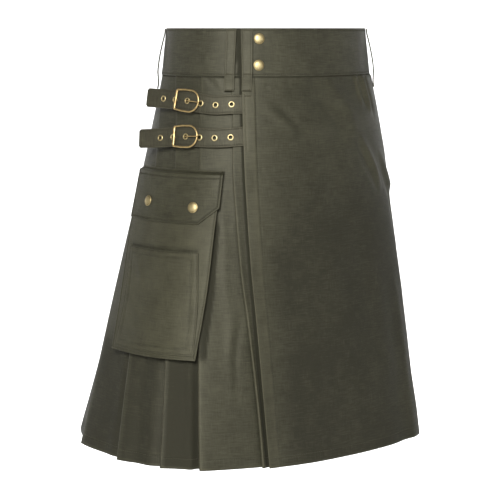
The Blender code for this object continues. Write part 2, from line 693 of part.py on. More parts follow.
def flat_strap(length, holes):
    """Strap laid flat along +X, its tail's corners cut, with a round hole at each eyelet."""
    bm = bmesh.new()
    steps = max(int(length / (11 * MM)), 2)
    xs = list(np.linspace(0, length - TAIL_CUT, steps)) + [length]
    half = STRAP_WIDTH / 2
    rings = []
    for x in xs:
        wide = half if x < length else half - TAIL_CUT
        corners = ((wide, 1), (-wide, 1), (-wide, -1), (wide, -1))
        rings.append([bm.verts.new((x, y, z * STRAP_CLOTH / 2)) for y, z in corners])
    for here, there in zip(rings, rings[1:]):
        for i in range(4):
            bm.faces.new((here[i], here[(i + 1) % 4], there[(i + 1) % 4], there[i]))
    bm.faces.new(rings[0])
    bm.faces.new(rings[-1])
    bmesh.ops.recalc_face_normals(bm, faces=bm.faces)
    mesh = bpy.data.meshes.new("flat_strap")
    bm.to_mesh(mesh)
    bm.free()
    strap = bpy.data.objects.new("flat_strap", mesh)
    bpy.context.collection.objects.link(strap)
    cutters = []
    for x in holes:
        hole = turned_mesh(((0, -5 * MM), (EYELET_BARREL + SEAM, -5 * MM), (EYELET_BARREL + SEAM, 5 * MM),
                            (0, 5 * MM)), EYELET_SIDES)
        bmesh.ops.translate(hole, vec=(x, 0, 0), verts=hole.verts)
        bmesh.ops.recalc_face_normals(hole, faces=hole.faces)
        cutter_mesh = bpy.data.meshes.new("strap_hole")
        hole.to_mesh(cutter_mesh)
        hole.free()
        cutter = bpy.data.objects.new("strap_hole", cutter_mesh)
        bpy.context.collection.objects.link(cutter)
        cut = strap.modifiers.new("hole", "BOOLEAN")
        cut.object = cutter
        cut.operation = "DIFFERENCE"
        cut.solver = "EXACT"
        cutters.append(cutter)
    drawn = strap.evaluated_get(bpy.context.evaluated_depsgraph_get())
    result = bmesh.new()
    result.from_mesh(drawn.to_mesh())
    for spare in cutters + [strap]:
        bpy.data.objects.remove(spare, do_unlink=True)
    bmesh.ops.triangulate(result, faces=result.faces)
    return result


def make_strap(name):
    """Strap with its eyelets, bent along its run."""
    path = STRAPS[name]
    holes = eyelet_places(name)
    bm = flat_strap(path.length, holes)
    for vert in bm.verts:
        here, out, along, up = path.axes(vert.co.x)
        vert.co = here + up * vert.co.y + out * vert.co.z
    add_object(f"strap_{name}", bm, "strap_canvas")
    face, back = STRAP_CLOTH / 2 + SEAM, -STRAP_CLOTH / 2 - SEAM
    profile = ((EYELET_HOLE, face + EYELET_RIM), (EYELET_RADIUS, face + EYELET_RIM * 0.6),
               (EYELET_RADIUS, face), (EYELET_BARREL, face), (EYELET_BARREL, back),
               (EYELET_RADIUS - 0.4 * MM, back),
               (EYELET_RADIUS - 0.4 * MM, back - EYELET_WASHER), (EYELET_HOLE, back - EYELET_WASHER))
    for number, length in enumerate(holes, start=1):
        eyelet = turned_mesh(profile, EYELET_SIDES)
        set_on(eyelet, path.axes(length))
        add_object(f"eyelet_{name}_{number}", eyelet, "antique_brass", crease=30)


def buckle_outline(inside):
    """Outline of the frame in its own plane: along the strap, and up, going round from the back bar."""
    half = BUCKLE_INSIDE / 2 + (0 if inside else BUCKLE_WIRE)
    back = BUCKLE_BACK + BUCKLE_BACK_BAR / 2 * (-1 if inside else 1)
    wire = BUCKLE_WIRE if inside else 0
    corner = BUCKLE_CORNER - wire
    middle_x = -(BUCKLE_FRONT - wire - corner)
    middle_y = half - corner
    outline = [(back, half), (back, -half)]
    turns = [math.radians(90 * k / 4) for k in range(5)]
    outline += [(middle_x - corner * math.sin(t), -middle_y - corner * math.cos(t)) for t in turns]
    outline += [(middle_x - corner * math.cos(t), middle_y + corner * math.sin(t)) for t in turns]
    return outline


def ring_mesh(outside, inside, low, high):
    """Flat ring between two outlines of one count, from one height to another."""
    bm = bmesh.new()
    loops = [(outside, low), (outside, high), (inside, high), (inside, low)]
    rings = [[bm.verts.new((x, y, height)) for x, y in outline] for outline, height in loops]
    count = len(outside)
    for one, other in zip(rings, rings[1:] + rings[:1]):
        for k in range(count):
            bm.faces.new((one[k], one[(k + 1) % count], other[(k + 1) % count], other[k]))
    bmesh.ops.recalc_face_normals(bm, faces=bm.faces)
    return bm


def bar_mesh():
    """Bar that dips from one long side of the frame, under the strap, to the other."""
    leg = BUCKLE_INSIDE / 2 + BUCKLE_WIRE / 2
    half = BUCKLE_WIRE / 2 - 0.05 * MM
    foot = -BAR_DROP - BUCKLE_LIFT
    profile = [(leg + half, 0.5 * MM), (leg + half, foot - BAR_THICK / 2),
               (-leg - half, foot - BAR_THICK / 2), (-leg - half, 0.5 * MM),
               (-leg + half, 0.5 * MM), (-leg + half, foot + BAR_THICK / 2),
               (leg - half, foot + BAR_THICK / 2), (leg - half, 0.5 * MM)]
    bm = bmesh.new()
    sides = [[bm.verts.new((x, y, z)) for y, z in profile] for x in (-BAR_THICK / 2, BAR_THICK / 2)]
    count = len(profile)
    for k in range(count):
        bm.faces.new((sides[0][k], sides[0][(k + 1) % count], sides[1][(k + 1) % count], sides[1][k]))
    for side in sides:
        bm.faces.new(side)
    bmesh.ops.recalc_face_normals(bm, faces=bm.faces)
    return bm


def joined(first, second):
    """One mesh that is the union of two, worked out with an exact Boolean."""
    objects = []
    for bm in (first, second):
        mesh = bpy.data.meshes.new("joined")
        bm.to_mesh(mesh)
        bm.free()
        made = bpy.data.objects.new("joined", mesh)
        bpy.context.collection.objects.link(made)
        objects.append(made)
    union = objects[0].modifiers.new("union", "BOOLEAN")
    union.object = objects[1]
    union.operation = "UNION"
    union.solver = "EXACT"
    result = bmesh.new()
    result.from_mesh(objects[0].evaluated_get(bpy.context.evaluated_depsgraph_get()).to_mesh())
    for spare in objects:
        bpy.data.objects.remove(spare, do_unlink=True)
    return result


def prong_mesh():
    """Round rod along the prong's side view, square to the strap's width."""
    bm = bmesh.new()
    spots = [Vector((x * MM, 0, z * MM)) for x, z in PRONG_RUN]
    sides = 8
    rings = []
    for k, spot in enumerate(spots):
        ahead = (spots[min(k + 1, len(spots) - 1)] - spots[max(k - 1, 0)]).normalized()
        wide = Vector((0, 1, 0))
        high = ahead.cross(wide)
        turns = [2 * math.pi * j / sides for j in range(sides)]
        arms = [(wide * math.cos(t) + high * math.sin(t)) * PRONG_RADIUS for t in turns]
        rings.append([bm.verts.new(spot + arm) for arm in arms])
    for here, there in zip(rings, rings[1:]):
        for j in range(sides):
            bm.faces.new((here[j], here[(j + 1) % sides], there[(j + 1) % sides], there[j]))
    bm.faces.new(rings[0])
    bm.faces.new(rings[-1])
    return bm


def make_buckle(name):
    """D-shaped frame round the strap with its bar under it, the prong and the cloth tab behind the bar."""
    path = STRAPS[name]
    bar_at = eyelet_places(name)[BUCKLED_EYELET]
    here, out, along, up = path.axes(bar_at)
    frame = ring_mesh(buckle_outline(False), buckle_outline(True), -BUCKLE_WIRE / 2, BUCKLE_WIRE / 2)
    buckle = joined(frame, bar_mesh())
    set_on(buckle, (here + out * BUCKLE_LIFT, out, along, up))
    add_object(f"buckle_{name}", buckle, "dark_brass", crease=35)
    prong = prong_mesh()
    set_on(prong, (here, out, along, up))
    add_object(f"prong_{name}", prong, "dark_brass", crease=50)
    arc, down = path.arc_and_down(bar_at)
    stand = pleat_face(down) + TAB_CLOTH / 2 / MM
    steps = np.linspace(TAB_START, TAB_LENGTH, 5)
    places = [FORM_BODY.axes(-arc - step, stand, down) for step in steps]
    centres, outs, _, ups = zip(*places)
    tab = strip_mesh(centres, ups, outs, TAB_WIDTH, TAB_CLOTH)
    add_object(f"buckle_tab_{name}", tab, "strap_canvas")


def main():
    clear_scene()
    make_cloth()
    make_belt_loops()
    make_waist_snaps()
    make_pocket()
    for name in STRAPS:
        make_strap(name)
        make_buckle(name)


main()
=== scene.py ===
# %% [markdown]
# # A pleated canvas utility kilt
# The kilt stands open, as it is worn, in thick olive cotton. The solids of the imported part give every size.
# This script dresses them: each cloth piece is made again as a fine, soft shell on the same place, and the
# metal parts get their rolled and rounded shapes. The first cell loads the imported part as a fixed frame.

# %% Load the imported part
import math

import bpy
import numpy as np
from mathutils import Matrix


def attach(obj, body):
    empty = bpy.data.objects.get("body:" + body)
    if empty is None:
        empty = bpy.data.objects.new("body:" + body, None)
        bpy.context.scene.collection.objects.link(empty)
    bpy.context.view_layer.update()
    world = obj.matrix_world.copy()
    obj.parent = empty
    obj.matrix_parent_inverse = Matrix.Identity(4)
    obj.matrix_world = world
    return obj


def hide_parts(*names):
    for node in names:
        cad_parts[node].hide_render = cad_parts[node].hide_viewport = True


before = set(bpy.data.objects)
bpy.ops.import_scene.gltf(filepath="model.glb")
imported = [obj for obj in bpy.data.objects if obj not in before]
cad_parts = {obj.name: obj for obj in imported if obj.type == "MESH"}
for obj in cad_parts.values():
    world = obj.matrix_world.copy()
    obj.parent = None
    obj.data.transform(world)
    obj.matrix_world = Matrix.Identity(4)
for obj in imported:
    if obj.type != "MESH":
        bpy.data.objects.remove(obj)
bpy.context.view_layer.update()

MM = 0.001
print("nodes loaded:", len(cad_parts))

# %% [markdown]
# ## Camera
# A long lens far away keeps the two sides of the kilt nearly parallel. The camera stands level with the top
# of the waistband, looks a little down, and sees the wearer's front and right. Its place could be found by
# trial, but it was worked out from the corners of the hem and the band, so it is written as plain numbers.

# %% Camera
AZIMUTH = math.radians(40)
PITCH = math.radians(7.47)
DISTANCE = 2.46
ASIDE = 0.0244
SENSOR = 36
FOCAL_PIXELS = 1693
camera_data = bpy.data.cameras.new("camera")
camera_data.sensor_width = SENSOR
camera_data.lens = SENSOR * FOCAL_PIXELS / 500
camera = bpy.data.objects.new("camera", camera_data)
camera.location = (-ASIDE * math.cos(AZIMUTH) - DISTANCE * math.sin(AZIMUTH),
                   ASIDE * math.sin(AZIMUTH) - DISTANCE * math.cos(AZIMUTH), 0.033)
camera.rotation_euler = (math.radians(90) - PITCH, 0, -AZIMUTH)
bpy.context.scene.collection.objects.link(camera)
bpy.context.scene.camera = camera
print("lens in mm:", round(camera_data.lens, 1))

# %% [markdown]
# ## Light and floor
# Cloth shows its creases when one light leads, and loses them when light comes from everywhere. So a soft
# lamp stands close to the camera's left, a weak one on its right, and a dim sky only fills the shadows. The
# floor is a wide white dish whose rim curves up, so no horizon line cuts the picture. It has a lamp of its
# own behind the kilt, as in a studio, because white paper has to be far brighter than dark cloth.

# %% Light and floor
def aim(thing, target):
    """Turn an object so that its -Z axis points at a place."""
    away = np.array(target, float) - np.array(thing.location)
    turn = math.atan2(away[1], away[0]) - math.pi / 2
    drop = math.atan2(away[2], math.hypot(away[0], away[1]))
    thing.rotation_euler = (math.pi / 2 + drop, 0, turn)


def soft_lamp(name, place, size, watts, target=(0, 0, -0.25)):
    lamp = bpy.data.lights.new(name, "AREA")
    lamp.shape = "RECTANGLE"
    lamp.size, lamp.size_y = size
    lamp.energy = watts
    made = bpy.data.objects.new(name, lamp)
    made.location = place
    bpy.context.scene.collection.objects.link(made)
    aim(made, target)


soft_lamp("key_lamp", (-2.25, -1.98, 1.0), (0.8, 0.8), 155)
soft_lamp("fill_lamp", (-0.6, -3.0, 0.6), (1.4, 1.4), 10)
soft_lamp("backdrop_lamp", (1.6, 1.9, 1.2), (2.6, 0.6), 180, (2.7, 3.2, -1.1))
sky = bpy.data.worlds.new("sky")
sky.use_nodes = True
sky.node_tree.nodes["Background"].inputs["Color"].default_value = (1.0, 1.0, 1.0, 1)
sky.node_tree.nodes["Background"].inputs["Strength"].default_value = 0.22
bpy.context.scene.world = sky
bpy.context.scene.view_settings.view_transform = "Standard"

FLOOR_RADIUS, RIM_OUT, RIM_UP, FLOOR_LEVEL, FLAT_SHARE = 4.6, 1.6, 3.6, -1.12, 0.6
FLOOR_RINGS, FLOOR_SIDES = 25, 96
turns, rim = np.meshgrid(np.linspace(0, 2 * np.pi, FLOOR_SIDES + 1)[:-1], np.linspace(0.001, 1, FLOOR_RINGS))
wall = np.clip(rim - FLAT_SHARE, 0, 1) / (1 - FLAT_SHARE) * np.pi / 2
reach = FLOOR_RADIUS * np.minimum(rim / FLAT_SHARE, 1) + RIM_OUT * np.sin(wall)
level = FLOOR_LEVEL + RIM_UP * (1 - np.cos(wall))
dish = np.stack([reach * np.cos(turns), reach * np.sin(turns), level], -1).reshape(-1, 3)
number = np.arange(FLOOR_RINGS * FLOOR_SIDES).reshape(FLOOR_RINGS, FLOOR_SIDES)
ahead = np.roll(number, -1, axis=1)
dish_faces = np.stack([number[:-1], number[1:], ahead[1:], ahead[:-1]], -1).reshape(-1, 4)
floor_mesh = bpy.data.meshes.new("floor")
floor_mesh.from_pydata(dish.tolist(), [], dish_faces.tolist())
floor_mesh.shade_smooth()
floor = bpy.data.objects.new("floor", floor_mesh)
bpy.context.scene.collection.objects.link(floor)
floor_paint = bpy.data.materials.new("floor_paint")
floor_paint.use_nodes = True
paint_shader = floor_paint.node_tree.nodes["Principled BSDF"]
paint_shader.inputs["Base Color"].default_value = (0.95, 0.95, 0.95, 1)
paint_shader.inputs["Roughness"].default_value = 0.9
floor_mesh.materials.append(floor_paint)

# %% [markdown]
# ## Sizes
# A kilt hangs from its band, so its sizes are easiest to keep by the way round and the way down. Each table
# gives, at some distances down from the band's top, the half widths of the body, the places of the folds
# round from the middle of the front, and how far they stand out, all in millimetres. They are the part's own.

# %% Tables of the pattern
LENGTH, BAND_DEPTH, SEAM = 601.5, 66.0, 0.3
BAND_CLOTH, CANVAS, PATCH_CLOTH, STRAP_CLOTH = 2.4, 1.1, 1.5, 1.8
PLEATS_EACH_SIDE = 8
FOLD_SHY = 0.9
FORM = np.array([
    # down, right, left, front, back, power
    (0, 151, 151, 115, 115, 2.15),
    (66, 157.5, 157.5, 120.5, 120.5, 2.20),
    (126.5, 167, 168, 128.5, 128.5, 2.30),
    (195.5, 178.5, 176.5, 135, 141, 2.40),
    (294.5, 200, 190, 140.5, 158.5, 2.45),
    (446, 231.5, 207.5, 151, 189.5, 2.50),
    (604.5, 267, 227.5, 163, 226.5, 2.50),
])
FOLDS = np.array([
    # down, apron edge, apron fold, fold 1, fold 2, fold 3, fold 4
    (0, 123, 133.5, 139.5, 181.5, 227, 272),
    (66, 126, 137, 140, 182, 230, 275),
    (126.5, 131.5, 145.5, 144.5, 190.5, 233.5, 278.5),
    (215, 136, 153, 151, 197.5, 239.5, 287),
    (324.5, 137, 158, 150, 204.5, 247, 303.5),
    (395, 135.5, 160.5, 146.5, 210, 253, 316.5),
    (537.5, 132.5, 164.5, 140.5, 221, 268, 339),
    (604.5, 131, 166, 139, 225.5, 277, 348.5),
])
STANDS = np.array([
    # down, fold 1, other folds, fold mouth, underlap, apron edge, apron middle, apron fold
    (66, 3.2, 3.2, 1.6, 37, 4.8, 3.4, 3.9),
    (89.5, 3.2, 3.2, 1.6, 37, 6.6, 3.6, 4.2),
    (151, 3.2, 3.2, 1.6, 37, 6.5, 3.8, 5.0),
    (215, 3.8, 4.0, 1.8, 36, 6.6, 3.9, 6.0),
    (294.5, 4.8, 5.8, 2.2, 34, 7.6, 4.2, 8.0),
    (395, 5.8, 8.3, 2.6, 30, 8.6, 4.8, 12.0),
    (496.5, 6.4, 10.2, 2.9, 27, 9.2, 5.4, 16.0),
    (604.5, 7.0, 12.0, 3.2, 24, 10.0, 6.0, 21.0),
])


def curve(table, column, down):
    """Smooth value of a table's column at distances down.

    Between two rows it follows the cubic whose end slopes are the harmonic means of the slopes on both
    sides of each row, so it never overshoots.
    """
    xs, ys = table[:, 0], table[:, column]
    gap = np.diff(xs)
    chord = np.diff(ys) / gap
    slope = np.zeros(len(xs))
    before, after = chord[:-1], chord[1:]
    same_way = before * after > 0
    slope[1:-1] = np.where(same_way, 2 * before * after / np.where(same_way, before + after, 1), 0)
    slope[0], slope[-1] = chord[0], chord[-1]
    down = np.clip(np.asarray(down, float), xs[0], xs[-1])
    k = np.clip(np.searchsorted(xs, down, side="right") - 1, 0, len(xs) - 2)
    t = (down - xs[k]) / gap[k]
    rise = ys[k] * (2 * t**3 - 3 * t**2 + 1) + ys[k + 1] * (3 * t**2 - 2 * t**3)
    return rise + gap[k] * (slope[k] * (t**3 - 2 * t**2 + t) + slope[k + 1] * (t**3 - t**2))


print("waist half width and hem half width:", curve(FORM, 1, 0.0), curve(FORM, 1, LENGTH))

# %% [markdown]
# ## The round body under the cloth
# Every piece is laid on one smooth body, so neighbours fit without trial. A place on it has an arc (the way
# round from the middle of the front, minus to the wearer's right), a distance down the cloth, and a stand,
# the distance out. The outline at each height is a rounded oval, between an ellipse and a rectangle.

# %% The round body
def unit(vectors):
    return vectors / np.linalg.norm(vectors, axis=-1, keepdims=True)


class Body:
    """Rounded ovals, one every 5 mm down the cloth, read at any arc, stand and down."""

    STEP = 5
    COLUMNS = 1440

    def __init__(self):
        """x and y are each half width times the sine or cosine of the turn to the power 2 / corner power."""
        turns = np.radians(np.linspace(-180, 180, 721))
        self.downs = np.arange(0, FORM[-1, 0] + self.STEP, self.STEP)
        right, left, front, back, power = (curve(FORM, k, self.downs)[:, None] for k in range(1, 6))
        side, ahead = np.sin(turns), np.cos(turns)
        x = np.sign(side) * np.abs(side) ** (2 / power) * np.where(side < 0, right, left)
        y = -np.sign(ahead) * np.abs(ahead) ** (2 / power) * np.where(ahead > 0, front, back)
        plan = np.stack([x, y], axis=-1)
        run = np.linalg.norm(np.diff(plan, axis=0), axis=-1)
        fall = np.sqrt(np.maximum(self.STEP**2 - run**2, 1))
        fall = np.concatenate([np.zeros((1, 721)), np.cumsum(fall, axis=0)])
        around = np.linalg.norm(np.diff(plan, axis=1), axis=-1)
        arcs = np.concatenate([np.zeros((len(self.downs), 1)), np.cumsum(around, axis=1)], axis=1)
        arcs -= arcs[:, 360:361]
        along = unit(np.gradient(plan, axis=1))
        fields = np.concatenate([plan, along[..., 1:], -along[..., :1], fall[..., None]], axis=-1)
        self.half_right, self.half_left = -arcs[:, 0], arcs[:, -1]
        shares = np.linspace(-1, 1, self.COLUMNS + 1)
        self.grid = np.empty((len(self.downs), self.COLUMNS + 1, 5))
        for j in range(len(self.downs)):
            places = shares * np.where(shares < 0, self.half_right[j], self.half_left[j])
            for k in range(5):
                self.grid[j, :, k] = np.interp(places, arcs[j], fields[j, :, k])

    def half(self, down, side):
        """Length round from the middle of the front to the middle of the back, on one side."""
        return np.interp(down, self.downs, self.half_right if side < 0 else self.half_left)

    def place(self, arc, stand, down):
        """World points in metres: the oval's point, moved straight out by the stand."""
        arc, stand, down = np.broadcast_arrays(*(np.asarray(v, float) for v in (arc, stand, down)))
        right, left = self.half(down, -1), self.half(down, 1)
        arc = (arc + right) % (right + left) - right
        column = (np.where(arc < 0, arc / right, arc / left) + 1) / 2 * self.COLUMNS
        row = np.clip(down / self.STEP, 0, len(self.downs) - 1.001)
        j, i = row.astype(int), np.clip(column.astype(int), 0, self.COLUMNS - 1)
        t, s = (row - j)[..., None], (column - i)[..., None]
        read = (self.grid[j, i] * (1 - s) + self.grid[j, i + 1] * s) * (1 - t)
        read += (self.grid[j + 1, i] * (1 - s) + self.grid[j + 1, i + 1] * s) * t
        spot = read[..., :2] + unit(read[..., 2:4]) * stand[..., None]
        return np.concatenate([spot, BAND_DEPTH / 2 - read[..., 4:]], axis=-1) * MM

    def axes(self, arc, stand, down):
        """Places with their outward, sideways (to the wearer's left) and upward directions."""
        here = self.place(arc, stand, down)
        side = unit(self.place(arc + 2, stand, down) - self.place(arc - 2, stand, down))
        up = unit(self.place(arc, stand, down - 4) - self.place(arc, stand, down + 4))
        out = unit(np.cross(side, up))
        return here, out, side, np.cross(out, side)


BODY = Body()
print("way round the waist in mm:", round(float(BODY.half(0, -1) + BODY.half(0, 1))))

# %% [markdown]
# ## Meshes from grids
# A cloth piece is two skins with a rim between them. Both skins are grids of points, so the whole piece is
# a few arrays: the numbers of the four corners of every cell, and a wall along each edge that has a cell on
# one side only. A cell that is left out makes a hole with its own wall, which suits the eyelets.

# %% Shells
def shell_faces(rows, columns, keep=None):
    """Faces of a closed wall: outer cells, inner cells turned round, and a wall on every open edge."""
    number = np.arange(rows * columns).reshape(rows, columns)
    below = rows * columns
    if keep is None:
        keep = np.ones((rows - 1, columns - 1), bool)
    a, b, c, d = number[:-1, :-1], number[:-1, 1:], number[1:, 1:], number[1:, :-1]
    faces = [np.stack([a, b, c, d], -1)[keep], np.stack([a, d, c, b], -1)[keep] + below]
    padded = np.pad(keep, 1)
    over, under = padded[:-1, 1:-1], padded[1:, 1:-1]
    left, right = padded[1:-1, :-1], padded[1:-1, 1:]
    edges = [(number[:, 1:], number[:, :-1], under & ~over), (number[:, :-1], number[:, 1:], over & ~under),
             (number[:-1], number[1:], right & ~left), (number[1:], number[:-1], left & ~right)]
    for start, end, open_edge in edges:
        p, q = start[open_edge], end[open_edge]
        faces.append(np.stack([p, q, q + below, p + below], -1))
    return np.concatenate(faces)


def volume(points, faces):
    """Signed volume of a closed mesh of four-sided faces: the sum of its corner pyramids."""
    a, b, c, d = (points[faces[:, k]] for k in range(4))
    return (np.cross(b - a, c - a) * a).sum() / 6 + (np.cross(c - a, d - a) * a).sum() / 6


def add_piece(name, points, faces, material, uv=None, wear_and_shade=None, creased=None):
    """Scene object of a closed mesh, its faces turned out; a repeated corner makes a three-sided face."""
    points = np.asarray(points, float).reshape(-1, 3)
    faces = np.asarray(faces)
    if volume(points, faces) < 0:
        faces = faces[:, ::-1]
    used = np.unique(faces)
    fresh = np.zeros(len(points), int)
    fresh[used] = np.arange(len(used))
    faces = fresh[faces]
    mesh = bpy.data.meshes.new(name)
    plain = (faces[:, 2] != faces[:, 3]) & (faces[:, 0] != faces[:, 1])
    corners = faces[plain].tolist() + [list(dict.fromkeys(face)) for face in faces[~plain].tolist()]
    mesh.from_pydata(points[used].tolist(), [], corners)
    mesh.shade_smooth()
    if creased:
        mesh.set_sharp_from_angle(angle=math.radians(creased))
    if uv is not None:
        layer = mesh.uv_layers.new(name="cloth")
        index = np.empty(len(mesh.loops), int)
        mesh.loops.foreach_get("vertex_index", index)
        layer.data.foreach_set("uv", np.asarray(uv, float).reshape(-1, 2)[used][index].ravel())
    # Each point's wear_and_shade: real wear and fading, and painted shade where the value is lowered.
    worn_and_shaded = np.zeros(len(used)) if wear_and_shade is None else np.asarray(wear_and_shade, float).reshape(-1)[used]
    mesh.attributes.new("wear_and_shade", "FLOAT", "POINT").data.foreach_set("value", worn_and_shaded)
    mesh.materials.append(material)
    made = bpy.data.objects.new(name, mesh)
    bpy.context.scene.collection.objects.link(made)
    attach(made, "root")
    print(name, len(mesh.polygons), "faces")
    return made


# %% [markdown]
# ## Soft relief
# Real cloth is never even: it has creases from its folds, drag lines below a seam, and a slow wave all over.
# A simulation gives creases, but not where they are wanted. Here each one is drawn as a soft trough
# or ridge along a path, and a few long waves of seeded directions keep the rest from looking flat.

# %% Creases and waves
def bell(value, middle, width):
    """Soft bump of height 1: exp(-((value - middle) / width) squared)."""
    return np.exp(-((value - middle) / width) ** 2)


def crease(arc, down, path, width, depth, fade=(1, 1)):
    """Soft ridge (or trough, if depth is below 0) along a path of arc and down.

    Its height is depth times exp(-(distance / width) squared), and it dies away towards the path's ends
    as the sine of the share of the way along it.
    """
    path = np.asarray(path, float)
    steps = np.diff(path, axis=0)
    lengths = np.hypot(steps[:, 0], steps[:, 1])
    reached = np.concatenate([[0], np.cumsum(lengths)])
    nearest = np.full(np.broadcast(arc, down).shape, 1e9)
    share = np.zeros_like(nearest)
    for start, step, length, before in zip(path[:-1], steps, lengths, reached):
        t = np.clip(((arc - start[0]) * step[0] + (down - start[1]) * step[1]) / length**2, 0, 1)
        gap = np.hypot(arc - start[0] - t * step[0], down - start[1] - t * step[1])
        share = np.where(gap < nearest, (before + t * length) / reached[-1], share)
        nearest = np.minimum(gap, nearest)
    dying = np.ones_like(share)
    if fade[0]:
        dying = dying * np.sin(np.pi / 2 * np.minimum(share * 2, 1))
    if fade[1]:
        dying = dying * np.sin(np.pi / 2 * np.minimum((1 - share) * 2, 1))
    return depth * bell(nearest, 0, width) * dying


def waves(arc, down, seed, size, height):
    """Sum of eight plane waves of about one size, with seeded directions and phases."""
    rng = np.random.default_rng(seed)
    total = np.zeros(np.broadcast(arc, down).shape)
    for _ in range(8):
        angle, phase, scale = rng.uniform(0, np.pi), rng.uniform(0, 2 * np.pi), rng.uniform(0.7, 1.5)
        along = arc * np.cos(angle) + down * np.sin(angle)
        total += np.sin(along * 2 * np.pi / (size * scale) + phase)
    return height * total / 4


def puckers(along, edge, seed, height=0.2):
    """Small ripples across a seam, which pulls the cloth short: they die away over about 7 mm from it."""
    return waves(along, 0 * along, seed, 6.0, height) * bell(edge, 0, 7.0)


def smooth(low, high, value):
    """Even step from 0 to 1 between two values, with level ends: 3t squared minus 2t cubed."""
    t = np.clip((value - low) / (high - low), 0, 1)
    return t * t * (3 - 2 * t)


def spaced(start, end, step, round_by=0.5):
    """Even steps from start to end, with closer ones at both ends so that an edge can be rounded."""
    lead = np.array([0, 0.25, 0.6, 1.0]) * round_by
    inner = np.linspace(start + round_by, end - round_by, max(int(round((end - start) / step)), 2) + 1)
    return np.concatenate([start + lead[:-1], inner, end - lead[-2::-1]])


def rounded(distance, radius):
    """Share of the full thickness near a rounded edge: a quarter circle from the edge to the radius."""
    t = np.clip(distance / radius, 0, 1)
    return np.sqrt(np.maximum(1 - (1 - t) ** 2, 0.03))


# %% [markdown]
# ## Materials as sums
# A pattern such as a weave is arithmetic on the place on the cloth. Written with nodes by hand it is long
# and hard to read, so this small class lets sockets stand in Python sums: each sum adds its own Math node.

# %% Wires
class Wire:
    """A socket of a node tree that can be added to, multiplied and joined to new nodes."""

    def __init__(self, tree, socket=None):
        self.tree = tree
        self.socket = socket

    def node(self, kind, settings=(), values=(), output=0):
        """Add a node: its settings first, then a value or a wire for each of its sockets."""
        made = self.tree.nodes.new(kind)
        for name, value in dict(settings).items():
            if name == "stops":
                for element, (spot, colour) in zip(made.color_ramp.elements, value):
                    element.position, element.color = spot, colour
            else:
                setattr(made, name, value)
        for name, value in dict(values).items():
            if isinstance(value, Wire):
                self.tree.links.new(value.socket, made.inputs[name])
            else:
                made.inputs[name].default_value = value
        return Wire(self.tree, made.outputs[output])

    def sum(self, operation, first, second=0.0, third=0.0):
        values = {0: first, 1: second, 2: third}
        return self.node("ShaderNodeMath", {"operation": operation}, values)

    def __add__(self, other):
        return self.sum("ADD", self, other)

    def __sub__(self, other):
        return self.sum("SUBTRACT", self, other)

    def __rsub__(self, other):
        return self.sum("SUBTRACT", other, self)

    def __mul__(self, other):
        return self.sum("MULTIPLY", self, other)

    __radd__ = __add__
    __rmul__ = __mul__

    def noise(self, scale, detail, roughness=0.5):
        """Noise by the place on the object, with so many changes in a metre."""
        place = self.node("ShaderNodeTexCoord", output=3)
        values = {"Vector": place, "Scale": scale, "Detail": detail, "Roughness": roughness}
        return self.node("ShaderNodeTexNoise", (), values)

    def sine(self):
        return self.sum("SINE", self)

    def clamped(self, low=0.0, high=1.0):
        return self.sum("MINIMUM", self.sum("MAXIMUM", self, low), high)

    def mixed(self, first, second):
        """Colour between two, by this wire as the share of the second."""
        made = self.node("ShaderNodeMix", {"data_type": "RGBA", "clamp_factor": True}).socket.node
        self.tree.links.new(self.socket, made.inputs[0])
        for index, value in ((6, first), (7, second)):
            if isinstance(value, Wire):
                self.tree.links.new(value.socket, made.inputs[index])
            else:
                made.inputs[index].default_value = value
        return Wire(self.tree, made.outputs[2])


def linear(red, green, blue):
    """Linear light of an sRGB colour from 0 to 255."""
    shares = np.array((red, green, blue)) / 255
    light = np.where(shares <= 0.04045, shares / 12.92, ((shares + 0.055) / 1.055) ** 2.4)
    return (*light, 1)


def new_material(name, settings):
    """Principled material with constants set on its own sockets, and a wire to start its sums from."""
    made = bpy.data.materials.new(name)
    made.use_nodes = True
    shader = made.node_tree.nodes["Principled BSDF"]
    for socket, value in settings.items():
        shader.inputs[socket].default_value = value
    return made, shader, Wire(made.node_tree)


# %% [markdown]
# ## Olive canvas
# The cloth is a close cotton canvas: two sets of yarns that cross, thick and thin ones mixed, dyed olive
# and a little faded on folds and edges. An image would repeat. Sums of sines along the two ways of the cloth
# give the yarns, noise drawn long along a yarn makes it thick and thin, and slow noise makes the dye uneven.

# %% Canvas
YARN = 0.62 * MM


